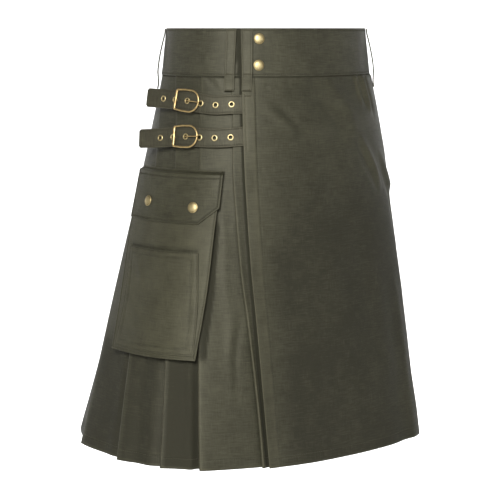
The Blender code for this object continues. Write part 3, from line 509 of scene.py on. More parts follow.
def canvas(name, colour, tone_shift):
    """Plain weave: each yarn's height is a sine across it, and the two sets swap places as a sine product."""
    made, shader, wire = new_material(name, {
        "Specular IOR Level": 0.25, "Specular Tint": linear(255, 250, 225),
        "Sheen Weight": 0.02, "Sheen Roughness": 0.4, "Sheen Tint": linear(150, 148, 128),
    })
    cloth = wire.node("ShaderNodeUVMap", {"uv_map": "cloth"})
    parts = cloth.node("ShaderNodeSeparateXYZ", (), {0: cloth})
    across, along = parts, Wire(wire.tree, parts.socket.node.outputs[1])
    turn = 2 * math.pi / YARN
    slow, patches = wire.noise(9.0, 3.0, 0.55), wire.noise(46.0, 4.0, 0.6)

    def streaks(scales):
        """Noise drawn out along one way of the cloth, by how often it changes in a metre each way."""
        drawn = wire.node("ShaderNodeMapping", {"vector_type": "POINT"}, {0: cloth, 3: (*scales, 1)})
        return wire.node("ShaderNodeTexNoise", (), {"Vector": drawn, "Scale": 1.0, "Detail": 1.0}) - 0.5

    slubs, weft, warp = streaks((48, 560)), streaks((130, 1400)), streaks((1100, 60))
    swap = (across * (turn / 2)).sine() * (along * (turn / 2)).sine()
    weave = (across * turn).sine() * 0.5 * (1 + swap) + (along * turn).sine() * 0.5 * (1 - swap)
    yarns = slubs * 1.1 + weft * 0.9 + warp * 0.9
    height = weave * 0.30 + yarns * 1.1
    wear_and_shade = wire.node("ShaderNodeAttribute", {"attribute_name": "wear_and_shade"}, output=2)
    light_share = ((slow - 0.5) * 0.8 + (patches - 0.5) * 0.8 + yarns + 0.5 + weave * 0.05).clamped()
    worn_share = (wear_and_shade * (0.35 + patches * 0.9) - 0.1).clamped()
    # Values below zero darken the tone: painted shade, set on the pieces below.
    light_share = (light_share + wear_and_shade.clamped(-1.0, 0.0)).clamped()
    dark = tuple(channel * 0.55 for channel in colour[:3]) + (1,)
    pale = tuple(channel * 1.45 for channel in colour[:3]) + (1,)
    tone = light_share.mixed(dark, pale)
    wire.tree.links.new(worn_share.mixed(tone, tone_shift).socket, shader.inputs["Base Color"])
    wire.tree.links.new((0.5 - wear_and_shade.clamped(-1.0, 0.0) * 0.4).socket, shader.inputs["Roughness"])
    bump = wire.node("ShaderNodeBump", (), {"Strength": 0.5, "Distance": 0.2 * MM, "Height": height})
    wire.tree.links.new(bump.socket, shader.inputs["Normal"])
    return made


OLIVE = canvas("canvas", linear(46, 45, 35), linear(62, 60, 47))
OLIVE_BAND = canvas("band_canvas", linear(48, 47, 37), linear(64, 62, 49))
OLIVE_POCKET = canvas("pocket_canvas", linear(45, 44, 33), linear(63, 61, 47))
OLIVE_STRAP = canvas("strap_canvas", linear(49, 47, 37), linear(66, 63, 49))
THREAD, _, _ = new_material("thread", {
    "Base Color": linear(60, 57, 44), "Roughness": 0.6, "Specular IOR Level": 0.15})
print("cloth materials:", 4)

# %% [markdown]
# ## Antique brass
# The snaps, eyelets and buckles are brass that was stained dark and rubbed back, so it is bright on its
# high places and brown in its hollows. Slow noise moves it between the two, and fine noise roughens it.

# %% Brass
def brass(name, bright, dark, roughness):
    """Metal whose colour goes from the stain to the rubbed brass by noise and the wear of its high places,
    and darkens where shade is painted in.
    """
    made, shader, wire = new_material(name, {"Metallic": 1.0})
    stain, grain = wire.noise(260.0, 4.0, 0.6), wire.noise(1900.0, 2.0)
    wear_and_shade = wire.node("ShaderNodeAttribute", {"attribute_name": "wear_and_shade"}, output=2)
    share = (wear_and_shade * 0.75 + stain * 1.5 - 0.62).clamped()
    wire.tree.links.new(share.mixed(dark, bright).socket, shader.inputs["Base Color"])
    rough = (roughness + (1 - share) * 0.2 + grain * 0.12).clamped()
    wire.tree.links.new(rough.socket, shader.inputs["Roughness"])
    bump = wire.node("ShaderNodeBump", (), {"Strength": 0.25, "Distance": 0.05 * MM, "Height": grain + stain})
    wire.tree.links.new(bump.socket, shader.inputs["Normal"])
    return made


BRASS = brass("antique_brass", linear(186, 170, 126), linear(112, 98, 68), 0.36)
DARK_BRASS = brass("dark_brass", linear(206, 180, 126), linear(112, 88, 56), 0.3)

# %% [markdown]
# ## Pleats
# A knife pleat is one cloth that runs forward on the outside, turns at its fold, runs back underneath and
# turns again. So each side is a single line, drawn once for every height, and the line's corners are half
# circles. The folds are a little uneven, the panels between them are slightly hollow, and both grow downward.

# %% Pleats
FIRST_REACH, FIRST_OVERLAP = 34, 8
TUCK_STEP, APRON_RETURN, RETURN_END, RETURN_ROOM = 1.5, 26, 3, 0.2
# Down to the stitched line of the hem, which is turned up by 14 mm
HEM_SEAM = LENGTH - 14


def cloth_downs(step=4.0):
    """Distances down of a panel's rows, closer at the two ends and at the hem's seam."""
    lead = BAND_DEPTH + np.array([-1.8, -1.6, -1, -0.2, 0.4, 1, 1.8, 2.8, 3.9])
    at_seam = HEM_SEAM + np.array([-2, -1, -0.4, 0.4, 1, 2.2])
    return np.concatenate([lead, spaced(BAND_DEPTH + 5, HEM_SEAM - 2, step)[3:-3], at_seam,
                           spaced(HEM_SEAM + 4, LENGTH, step)[3:]])


def half_turn(arc, stand, radius, facing, count=7):
    """Points of a fold: a half circle about a centre, from its outer to its inner side."""
    angles = np.pi / 2 - np.linspace(0, np.pi, count)
    return [(arc + facing * radius * np.cos(t), stand + radius * np.sin(t)) for t in angles]


def fold_places(down, side):
    """Distances round from the front of the first edge and of every pleat's fold, on one side."""
    middle_back = BODY.half(down, side) - FOLD_SHY
    known = [curve(FOLDS, k, down) for k in ((1, 3, 4, 5, 6) if side < 0 else (2,))]
    left_over = PLEATS_EACH_SIDE + 1 - len(known)
    return known + [known[-1] + (middle_back - known[-1]) * k / left_over for k in range(1, left_over + 1)]


PANEL_CREASES = {
    # panel: paths of distance from its first fold and down, width, height, fading at start and end
    0: [([(4, 120), (6, 320)], 3.0, 0.5, (1, 1))],
    1: [([(4, 384), (19, 436), (23, 455), (27.5, 513)], 3.6, -1.9, (1, 1)),
        ([(12, 372), (27, 430), (31, 452), (35, 520)], 6.0, 1.5, (1, 1)),
        ([(14, 196), (20, 262), (16, 330)], 7.0, 1.2, (1, 1)),
        ([(30, 210), (36, 280), (33, 340)], 5.5, -1.0, (1, 1))],
    2: [([(13, 400), (12.5, 534), (13, 601)], 5.0, 2.2, (1, 0)), ([(4, 420), (4.5, 601)], 3.0, -1.4, (1, 0)),
        ([(34, 400), (34, 534), (35, 601)], 14.0, -2.6, (1, 0))],
    3: [([(15, 400), (16, 534), (17, 601)], 11.0, 2.6, (1, 0)),
        ([(40, 430), (42, 601)], 12.0, -2.0, (1, 0))],
    4: [([(17, 420), (20, 601)], 11.0, 2.0, (1, 0))],
}


# How far a panel springs out from under the fold before it, instead of rising evenly, 0 to 1
PANEL_TURNS = {2: 1.0, 3: 0.5, 4: 0.3}


def panel_relief(share, down, side, number, pitch):
    """Hollow and creases of one visible panel, in mm, by the share of its width and the distance down."""
    open_share = smooth(90, 560, down)
    rng = np.random.default_rng(40 * number + (7 if side < 0 else 3))
    relief = -(0.25 + 1.9 * open_share) * np.sin(np.pi * share) ** 1.3
    for _ in range(3):
        spot, drift = rng.uniform(0.15, 0.85), rng.uniform(-0.22, 0.22)
        start, width, depth = rng.uniform(110, 380), rng.uniform(4, 9), rng.uniform(-1.2, 1.4)
        path = [(spot * pitch.mean(), start), ((spot + drift) * pitch.mean(), start + rng.uniform(90, 240))]
        relief = relief + crease(share * pitch, down, path, width, depth)
    turned_back = PANEL_TURNS.get(number, 0) if side < 0 else 0
    relief = relief + turned_back * open_share * curve(STANDS, 2, down) * (1 - (1 - share) ** 2.8 - share)
    for path, width, height, fade in (PANEL_CREASES.get(number, []) if side < 0 else []):
        relief = relief + crease(share * pitch, down, path, width, height, fade)
    drag = 0
    for _ in range(3):
        path = [(rng.uniform(3, 40), 66), (rng.uniform(6, 40), rng.uniform(80, 98))]
        drag = drag + crease(share * pitch, down, path, 2.8, rng.uniform(-0.75, 0.5), (0, 1))
    ends = smooth(0, 0.08, share) * smooth(0, 0.05, 1 - share)
    return (relief + drag + waves(share * pitch, down, 11 * number + side + 1, 60, 0.22)) * ends


def pleat_sheet(side, down):
    """Arc, stand and relief of every point of one side's cloth, one row for each distance down."""
    first, lift, mouth, underlap = (curve(STANDS, k, down) for k in (1, 2, 3, 4))
    folds = fold_places(down, side)
    pitches = np.diff(np.array(folds), axis=0)
    turn = mouth / 2
    line, relief = [], []

    def add(arc, stand, rise=0.0):
        line.append((arc + 0 * down, stand + 0 * down))
        relief.append(rise + 0 * down)

    def panel(number, start, end, low, high, pitch, width):
        steps = 20 if number < 6 or side < 0 else 16
        for share in np.linspace(0, 1, steps + 1)[1:-1]:
            share = 1 - (1 - share) ** 1.15
            rise = panel_relief(share, down, side, number, pitch)
            add(start + share * (end - width - start), low + share * (high - low), rise)

    if side < 0:
        slope = lift / pitches[1]
        start = folds[0] - FIRST_OVERLAP
        for back in np.linspace(0, 1, 6)[:-1]:
            spot = folds[0] - FIRST_REACH + back * (FIRST_REACH - FIRST_OVERLAP)
            add(spot, first - slope * (folds[1] - spot))
        panel(0, start, folds[1], first - slope * (folds[1] - start), first, folds[1] - start, turn)
        pairs = list(zip(folds[1:], [first] + [lift] * (PLEATS_EACH_SIDE - 1)))
    else:
        low = -lift * APRON_RETURN / pitches[0]
        lead = folds[0] - APRON_RETURN - SEAM
        bend = lead - TUCK_STEP
        add(lead, low + mouth)
        for arc, stand in half_turn(bend, low + turn, turn, -1, 5):
            add(arc, stand)
        panel(0, bend, folds[1], low, lift, pitches[0] + APRON_RETURN, turn)
        pairs = list(zip(folds[1:], [lift] * PLEATS_EACH_SIDE))
    for k, (fold, height) in enumerate(pairs):
        last = k + 1 == len(pairs)
        pitch = (fold * 0 + pitches[-1]) if last else pairs[k + 1][0] - fold
        sway = 0.5 * np.sin(down / 90 + 2.1 * k + side) * smooth(120, 400, down)
        for arc, stand in half_turn(fold - turn + sway, height - turn, turn, 1):
            add(arc, stand)
        low = -lift * underlap / pitch
        for share in np.linspace(0, 1, 10)[1:-1]:
            add(fold - turn + share * (turn - underlap), height - mouth + share * (low + mouth * 2 - height))
        for arc, stand in half_turn(fold - underlap, low + turn, turn, -1, 5):
            add(arc, stand)
        if last:
            for share in np.linspace(0, 1, 10)[1:]:
                add(fold - underlap + share * (underlap + FOLD_SHY - SEAM / 2), low * (1 - share))
        else:
            for share in np.linspace(0, 1, 9)[1:]:
                add(fold - underlap + share * underlap, low * (1 - share))
            panel(k + 1, fold, pairs[k + 1][0], 0 * down, pairs[k + 1][1], pitch, turn)
    arcs = side * np.array([spot for spot, _ in line]).T
    stands = np.array([stand for _, stand in line]).T
    return arcs, stands, np.array(relief).T


# %% [markdown]
# ## From a line to a wall
# The line is only the middle of the cloth. Moved to both sides by half the cloth's thickness it gives the two
# skins, and near its edges the thickness shrinks, so they look rounded. Just below the band the folds close
# up to the band's own stand, as if they were sewn into it.

# %% Walls from a line
def offset_rows(arcs, stands, distance):
    """Lines of arc and stand moved to their left by a distance, with mitred corners, one line a row."""
    run = unit(np.stack([np.diff(arcs, axis=1), np.diff(stands, axis=1)], -1))
    side = np.stack([-run[..., 1], run[..., 0]], -1)
    before = np.concatenate([side[:, :1], side], axis=1)
    after = np.concatenate([side, side[:, -1:]], axis=1)
    mitre = (before + after) / np.maximum(1 + (before * after).sum(-1, keepdims=True), 0.35)
    return arcs + mitre[..., 0] * distance, stands + mitre[..., 1] * distance


BAND_STAND = 2.0
# Arc at which the band's front piece starts to rise, how far round it rises, and how high
BAND_RISE = (60, 184, 2.6)
# How deep the back piece lies under the front one, by the arc
BAND_UNDER = ((-147, -124, -58), (0, 1.0, 3.4))


def band_front_stand(arc):
    """Stand of the middle of the band's front piece, which rises towards its free edge."""
    start, reach, rise = BAND_RISE
    return BAND_STAND + rise * np.clip((start - arc) / reach, 0, 1) ** 1.5


def band_back_stand(arc):
    """Stand of the middle of the band's back piece, which dives under the front piece."""
    return BAND_STAND - np.interp(arc, *BAND_UNDER) * (arc > BAND_UNDER[0][0])


def cloth_wall(name, arcs, stands, downs, cloth, material, band, wear_and_shade=None):
    """Cloth of one thickness about a middle line, rounded at its edges, with its flat size as its UV map.

    Its folds close up towards the band's own stand as the cloth goes up into the band's lower edge.
    """
    open_share = 0.25 + 0.75 * smooth(BAND_DEPTH - 0.5, BAND_DEPTH + 4, downs)[:, None]
    stands = band(arcs) + (stands - band(arcs)) * open_share
    downs = downs[:, None] + 0 * arcs
    run = np.hypot(np.diff(arcs, axis=1), np.diff(stands, axis=1))
    flat = np.concatenate([np.zeros((len(arcs), 1)), np.cumsum(run, axis=1)], axis=1)
    edge = np.minimum(np.minimum(flat, flat[:, -1:] - flat), np.minimum(downs - downs[0], downs[-1] - downs))
    half = cloth / 2 * rounded(edge, cloth / 2)
    skins = []
    for way in (1, -1):
        arc, stand = offset_rows(arcs, stands, way * half)
        skins.append(BODY.place(arc, stand, downs))
    points = np.concatenate([skin.reshape(-1, 3) for skin in skins])
    uv = np.stack([flat, downs], -1).reshape(-1, 2) * MM
    worn_and_shaded = np.zeros(arcs.shape) if wear_and_shade is None else wear_and_shade
    # A painted shadow darkens the cloth just below the band's lower edge.
    worn_and_shaded = worn_and_shaded - smooth(BAND_DEPTH + 2.6, BAND_DEPTH + 0.8, downs)
    return add_piece(name, points, shell_faces(*arcs.shape), material, np.tile(uv, (2, 1)),
                     np.tile(worn_and_shaded.reshape(-1), 2))


# %% [markdown]
# ## Fading and painted shade
# Canvas loses its dye first where it is rubbed, on folds and at the hem. Shade is painted into the same
# number: the pleats are darkened beside the pocket, along the apron's edge and on the panels behind the
# pocket, as painted shadow. Both are one number at every point, which the cloth's material reads. Then the
# two sides are built, and the row at the hem's seam is kept for its stitches.

# %% Fading, painted shade and the two sides
def fold_wear(arcs, stands, downs):
    """Fading along folds and the hem, by how sharply the line turns there."""
    run = np.stack([np.diff(arcs, axis=1), np.diff(stands, axis=1)], -1)
    turn = np.abs(np.cross(unit(run)[:, :-1], unit(run)[:, 1:]))
    turn = np.pad(turn, ((0, 0), (1, 1)))
    soft = np.clip(turn * 1.6, 0, 1)
    for _ in range(2):
        soft = np.maximum(soft, 0.6 * np.pad(soft, ((0, 0), (1, 1)))[:, :-2])
        soft = np.maximum(soft, 0.6 * np.pad(soft, ((0, 0), (1, 1)))[:, 2:])
    hem = 0.8 * bell(downs[:, None], LENGTH, 1.6)
    return np.clip(soft + hem, 0, 1)


def pocket_painted_shadow(arc, down):
    """Share of painted shadow on the pleats beside the pocket, in a strip that grows wider downward."""
    front = np.interp(down, (270, 355, 452), (178, 194, 217))
    width = np.interp(down, (262, 452), (3, 11))
    beside = smooth(front - width - 2, front - width + 1, arc) * smooth(front + 14, front + 6, arc)
    return beside * smooth(258, 275, down) * smooth(458, 450, down)


# How strongly the panels behind the pocket are darkened as painted shade: next to it, and further on
PAINTED_SHADE_BEHIND_POCKET = (0.78, 0.36)
PLEAT_DOWNS = cloth_downs(4.9)
pleats, hems = {}, []
for name, side in (("pleats_right", -1), ("pleats_left", 1)):
    arcs, stands, relief = pleat_sheet(side, PLEAT_DOWNS)
    seam = -0.28 * bell(PLEAT_DOWNS[:, None], HEM_SEAM, 1.1)
    wear_and_shade = fold_wear(arcs, stands, PLEAT_DOWNS)
    if side < 0:
        folds = fold_places(PLEAT_DOWNS, side)
        deep = [smooth(-1, 2, -arcs - folds[number][:, None]) for number in (2, 3)]
        painted_shade = PAINTED_SHADE_BEHIND_POCKET[0] * deep[0] + (PAINTED_SHADE_BEHIND_POCKET[1] - PAINTED_SHADE_BEHIND_POCKET[0]) * deep[1]
        # Painted shade on the panels behind the pocket, growing towards the hem.
        wear_and_shade = wear_and_shade - painted_shade * smooth(425, 470, PLEAT_DOWNS[:, None])
        # Painted shadow in the gap along the apron's free edge.
        wear_and_shade = wear_and_shade - smooth(-4.5, -1.5, arcs + curve(FOLDS, 1, PLEAT_DOWNS)[:, None])
        # Painted shadow on the pleats beside the pocket's front side.
        wear_and_shade = wear_and_shade - pocket_painted_shadow(-arcs, PLEAT_DOWNS[:, None])
    hem_row = int(np.argmin(np.abs(PLEAT_DOWNS - HEM_SEAM)))
    hems += [(arcs[hem_row, run], (stands + relief)[hem_row, run] + CANVAS / 2 - 0.15)
             for run in np.split(np.arange(arcs.shape[1]), np.flatnonzero(np.diff(relief[hem_row] != 0)) + 1)
             if relief[hem_row, run[0]] != 0]
    piece = cloth_wall(f"cloth_{name}", arcs, stands + relief + seam * (relief != 0), PLEAT_DOWNS, CANVAS,
                       OLIVE, band_back_stand, wear_and_shade)
    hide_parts(name)
    pleats[name] = piece
    print(name, "line points:", arcs.shape[1], "rows:", arcs.shape[0])

# %% [markdown]
# ## Apron
# The flat front panel hangs from the band. Its free edge on the wearer's right is turned under and stitched,
# which makes a thicker strip. On the wearer's left it folds back under itself. Its creases were read off the
# cloth one by one: long soft ones near the fold, faint slanting ones below the band, and a slow wave.

# %% Apron
APRON_CREASES = [
    # path of arc and down, width, height, fading at start and end
    ([(60, 148), (80, 178), (98, 205), (112, 236)], 5.5, 2.0, (1, 1)),
    ([(50, 152), (70, 184), (88, 212), (100, 240)], 6.0, -1.7, (1, 1)),
    ([(112, 172), (134, 205), (160, 236), (166, 290)], 6.5, 2.2, (1, 1)),
    ([(100, 176), (122, 212), (148, 246), (152, 310)], 7.0, -1.8, (1, 1)),
    ([(64, 66), (68, 88), (76, 112)], 3.6, 1.7, (0, 1)),
    ([(73, 66), (79, 90), (88, 118)], 4.0, -1.8, (0, 1)),
    ([(84, 68), (91, 92), (101, 126)], 4.4, 1.8, (0, 1)),
    ([(96, 70), (104, 98), (112, 132)], 4.4, -1.6, (0, 1)),
    ([(-103, 104), (-78, 126), (-52, 154)], 6.5, 1.1, (1, 1)),
    ([(-92, 98), (-66, 120), (-38, 150)], 7.0, -1.0, (1, 1)),
    ([(-52, 84), (-20, 100), (20, 112), (52, 116)], 11.0, -1.5, (1, 1)),
    ([(-60, 120), (-20, 134), (24, 140)], 10.0, 1.2, (1, 1)),
    ([(-20, 80), (10, 120), (34, 170)], 11.0, -1.2, (0, 1)),
    ([(10, 78), (38, 112), (60, 156)], 9.0, 1.2, (0, 1)),
    ([(-40, 200), (-8, 330), (4, 470)], 26.0, 1.5, (1, 1)),
    ([(36, 230), (60, 380), (70, 560)], 30.0, -1.8, (1, 1)),
    ([(-88, 250), (-74, 400), (-70, 560)], 26.0, -1.3, (1, 1)),
    ([(104, 330), (118, 450), (124, 601)], 17.0, -1.6, (1, 0)),
    ([(132, 340), (143, 470), (148, 601)], 9.0, 1.2, (1, 0)),
]
EDGE_STITCH = 17.0
BOX_TOP, BOX_BOTTOM, BOX_INSET = 87.0, 168.0, 4.0


def under_stand(arc):
    return np.interp(arc, (-124, -97, -53), (0.6, -0.2, -2.2))


def apron_front(share, down):
    """Arc and stand of the apron's front, by the share of the way from its free edge to its fold."""
    edge, fold = curve(FOLDS, 1, down), curve(FOLDS, 2, down)
    turn = (curve(STANDS, 3, down) + RETURN_ROOM) / 2
    at_edge, middle, at_fold = (curve(STANDS, k, down) for k in (5, 6, 7))
    edge_part = (1 - np.minimum(share / 0.55, 1)) ** 2
    fold_part = np.maximum((share - 0.35) / 0.65, 0) ** 2
    stand = middle + (at_edge - middle) * edge_part + (at_fold - middle) * fold_part
    return -edge + share * (edge + fold - turn), stand


def apron_relief(arc, down):
    """Sum of the apron's creases and waves, of the thicker strip at its edge and of its stitched lines."""
    edge = arc + curve(FOLDS, 1, down)
    relief = waves(arc, down, 5, 130, 0.75) + waves(arc, down, 9, 46, 0.16)
    for path, width, height, fade in APRON_CREASES:
        relief = relief + crease(arc, down, path, width, 1.5 * height, fade)
    for spot in (-110, -92, -61, -33, 2, 29, 55, 83, 106):
        reach = 84 + 9 * math.sin(spot)
        path = [(spot, BAND_DEPTH), (spot + 4 * math.cos(spot), reach)]
        relief = relief + crease(arc, down, path, 2.6, -0.3, (0, 1))
    relief = relief * smooth(0, 9, down - BAND_DEPTH + 4) * smooth(0, 14, edge)
    relief = relief + puckers(down, edge - EDGE_STITCH, 8) * smooth(0, 4, edge)
    relief = relief + 0.7 * smooth(EDGE_STITCH + 1.4, EDGE_STITCH - 0.6, edge)
    relief = relief - 0.5 * bell(edge, EDGE_STITCH, 1.0)
    in_box = smooth(BOX_TOP - 1, BOX_TOP, down) * smooth(BOX_BOTTOM + 1, BOX_BOTTOM, down)
    relief = relief - 0.3 * bell(edge, BOX_INSET, 0.8) * in_box
    for level in (BOX_TOP, BOX_BOTTOM):
        across = smooth(BOX_INSET - 1, BOX_INSET, edge) * smooth(EDGE_STITCH + 1, EDGE_STITCH, edge)
        relief = relief - 0.3 * bell(down, level, 0.8) * across
    return relief - 0.26 * bell(down, HEM_SEAM, 1.0)


apron_downs = np.unique(np.concatenate([cloth_downs(3.3), BOX_TOP + np.array([-1, 0, 1]),
                                        BOX_BOTTOM + np.array([-1, 0, 1])]))
edge_steps = np.array([0, 0.14, 0.33, 0.55, 1.2, 2.2, 3.2, 4.0, 4.8, 6, 8, 10, 12, 14, 15.5, 16.3, 17, 17.7,
                       18.5, 20])
# The apron's width at its middle, which turns these distances into shares
APRON_ACROSS = 282
front_shares = np.concatenate([edge_steps, np.linspace(22.6, APRON_ACROSS, 98)]) / APRON_ACROSS
down_grid, share_grid = np.meshgrid(apron_downs, front_shares, indexing="ij")
front_arc, front_stand = apron_front(share_grid, down_grid)
front_rise = apron_relief(front_arc, down_grid)
fold = curve(FOLDS, 2, apron_downs)
mouth = curve(STANDS, 3, apron_downs) + RETURN_ROOM
high = curve(STANDS, 7, apron_downs)
settle = front_rise[:, -1]
bend = half_turn(fold - mouth / 2, high - mouth / 2, mouth / 2, 1)[1:]
turned = [(arc, stand + settle) for arc, stand in bend]
inner = (-curve(STANDS, 2, apron_downs) * APRON_RETURN / (fold_places(apron_downs, 1)[1] - fold)
         + curve(STANDS, 3, apron_downs))
for share in np.linspace(0, 1, 8)[1:]:
    arc = fold - mouth / 2 + share * (mouth / 2 + RETURN_END - APRON_RETURN)
    turned.append((arc, high - mouth + settle * (1 - share) + share * (inner + RETURN_ROOM - high + mouth)))
turned += [(fold - APRON_RETURN + 1, inner + 0.06), (fold - APRON_RETURN, inner)]
apron_arcs = np.hstack([front_arc, np.array([arc for arc, _ in turned]).T])
apron_stands = np.hstack([front_stand + front_rise, np.array([stand for _, stand in turned]).T])
apron_wear_and_shade = fold_wear(apron_arcs, apron_stands, apron_downs)
from_edge = apron_arcs + curve(FOLDS, 1, apron_downs)[:, None]
apron_wear_and_shade = np.maximum(apron_wear_and_shade, 0.75 * bell(from_edge, 0, 1.4))
apron_wear_and_shade = apron_wear_and_shade + 0.36 * smooth(EDGE_STITCH + 0.5, EDGE_STITCH - 0.5, from_edge)
apron_wear_and_shade = apron_wear_and_shade - 0.9 * bell(from_edge, EDGE_STITCH, 1.0)
# The apron's middle is darkened downward: painted shade.
apron_wear_and_shade = apron_wear_and_shade - 0.42 * smooth(20, 60, from_edge) * smooth(110, 330, apron_downs[:, None])
apron = cloth_wall("cloth_apron_over", apron_arcs, apron_stands, apron_downs, CANVAS, OLIVE, band_front_stand,
                   apron_wear_and_shade)
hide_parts("apron_over")

# %% [markdown]
# ## Under panel
# Behind the apron hangs a plain panel that is hardly ever seen. It is made the same way, with only a few
# long waves, because someone may still look up under the hem.

# %% Under panel
UNDER_END, UNDER_COLUMNS = 60, 40
slope = curve(STANDS, 2, PLEAT_DOWNS) / (fold_places(PLEAT_DOWNS, -1)[2] - fold_places(PLEAT_DOWNS, -1)[1])
start = -(fold_places(PLEAT_DOWNS, -1)[0] - FIRST_REACH) + SEAM
level = curve(STANDS, 1, PLEAT_DOWNS) - slope * (fold_places(PLEAT_DOWNS, -1)[1] + start - SEAM)
share = np.linspace(0, 1, UNDER_COLUMNS)
under_arcs = start[:, None] + share * (UNDER_END - start)[:, None]
drop = level - under_stand(start - SEAM)
under_stands = under_stand(under_arcs) + drop[:, None] * (1 - share) ** 2
near_ends = smooth(0, 0.2, share) * smooth(1, 0.8, share)
under_stands += waves(under_arcs, PLEAT_DOWNS[:, None], 21, 120, 0.5) * near_ends
under = cloth_wall("cloth_apron_under", under_arcs, under_stands, PLEAT_DOWNS, CANVAS, OLIVE, band_back_stand)
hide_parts("apron_under")

# %% [markdown]
# ## Waistband
# The band is two layers of canvas over a stiff lining, so it stands smooth, with a folded top edge and a seam
# at the bottom. Rows of stitching press fine grooves near both edges. A wide shell is enough, with the
# grooves in its outer skin, a few shallow dents, and a thicker roll along the top.

# %% Waistband
BAND_STITCHES = (3.2, BAND_DEPTH - 3.0)
# Arcs over which the back piece, where it goes under the front one, turns dark: a painted shadow
BAND_SHADOW_ARCS = (-131.5, -129.5)


def band_rows():
    close = np.concatenate([groove + np.array([-1.4, -0.7, 0, 0.7, 1.4]) for groove in BAND_STITCHES])
    lead = np.array([0, 0.2, 0.5, 0.9, 1.3])
    return np.unique(np.concatenate([lead, BAND_DEPTH - lead, close, np.linspace(5.5, BAND_DEPTH - 5.5, 22)]))


def band_piece(name, arcs, stands, seed, free_edge=None):
    """Band of one thickness, swollen between its stitched lines; arcs and stands are one row or many."""
    downs = band_rows()
    run = np.abs(np.diff(arcs[len(arcs) // 2]))
    flat = np.concatenate([[0], np.cumsum(run)]) + 0 * arcs
    down = downs[:, None] + 0 * arcs
    groove = sum(bell(down, level, 0.75) for level in BAND_STITCHES)
    if free_edge is not None:
        groove = np.maximum(groove, bell(free_edge, 3.0, 0.75))
    dents = waves(arcs, down, seed, 48, 0.22) + waves(arcs, down, seed + 1, 17, 0.05)
    relief = dents * smooth(2, 12, down) * smooth(2, 12, BAND_DEPTH - down) - 0.3 * groove
    edge = np.minimum(np.minimum(down, BAND_DEPTH - down), np.minimum(flat, flat[:, -1:] - flat))
    half = BAND_CLOTH / 2 * rounded(edge, BAND_CLOTH / 2)
    outer = BODY.place(arcs, stands + relief + half, down)
    inner = BODY.place(arcs, stands + relief * 0.6 - half, down)
    wear_and_shade = 0.85 * bell(down, 0, 1.1) + 0.35 * bell(down, BAND_DEPTH, 1.0)
    wear_and_shade = np.maximum(wear_and_shade, 0.6 * bell(np.minimum(flat, flat[:, -1:] - flat), 0, 1.2)) - 0.5 * groove
    if free_edge is None:
        # Under the front piece's free edge the back piece is darkened: painted shadow.
        wear_and_shade = wear_and_shade - smooth(*BAND_SHADOW_ARCS, arcs)
    uv = np.tile(np.stack([flat, down], -1).reshape(-1, 2) * MM, (2, 1))
    points = np.concatenate([outer.reshape(-1, 3), inner.reshape(-1, 3)])
    piece = add_piece(f"cloth_{name}", points, shell_faces(*arcs.shape), OLIVE_BAND, uv,
                      np.tile(wear_and_shade.reshape(-1), 2))
    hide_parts(name)
    return piece


rows = band_rows()
edge_at, joint_at = curve(FOLDS, 1, rows)[:, None], curve(FOLDS, 2, rows)[:, None]
share = np.concatenate([[0, 0.0008, 0.002, 0.0045], np.linspace(0.006, 0.02, 5),
                        np.linspace(0.025, 0.995, 104), [0.9978, 0.9992, 1]])
arcs = -edge_at + share * (edge_at + joint_at)
band_front = band_piece("waistband_front", arcs, band_front_stand(arcs), 31, free_edge=arcs + edge_at)
whole = (BODY.half(rows, -1) + BODY.half(rows, 1))[:, None]
share = np.concatenate([[0, 0.0003, 0.0007, 0.0014], np.linspace(0.004, 0.998, 250), [0.9993, 0.9997, 1]])
first = joint_at + SEAM - whole
arcs = first + share * (UNDER_END - first)
band_back = band_piece("waistband_back", arcs, band_back_stand(arcs), 37)

# %% [markdown]
# ## Strips
# Belt loops, straps and tabs are flat strips that follow a line. A smooth curve through a few places gives
# the line. At each step the strip has an outward and an upward direction, and its section is a flat bar with
# round edges and a stitched groove near each. Cells are left out where an eyelet goes through.

# %% Strips
LOOP_STITCH = 2.2 * MM


def spline(points, count):
    """Curve through points whose slope at each is half the step between its neighbours, in even steps."""
    points = np.asarray(points, float)
    padded = np.concatenate([points[:1], points, points[-1:]])
    t = np.linspace(0, 1, 25)[:-1][:, None]
    parts = []
    for before, start, end, after in zip(padded[:-3], padded[1:-2], padded[2:-1], padded[3:]):
        leave, arrive = (end - before) / 2, (after - start) / 2
        parts.append(start * (2 * t**3 - 3 * t**2 + 1) + end * (3 * t**2 - 2 * t**3)
                     + leave * (t**3 - 2 * t**2 + t) + arrive * (t**3 - t**2))
    fine = np.concatenate(parts + [points[-1:]])
    reached = np.concatenate([[0], np.cumsum(np.linalg.norm(np.diff(fine[:, :3], axis=0), axis=1))])
    even = np.linspace(0, reached[-1], count)
    return np.stack([np.interp(even, reached, fine[:, k]) for k in range(fine.shape[1])], -1), even


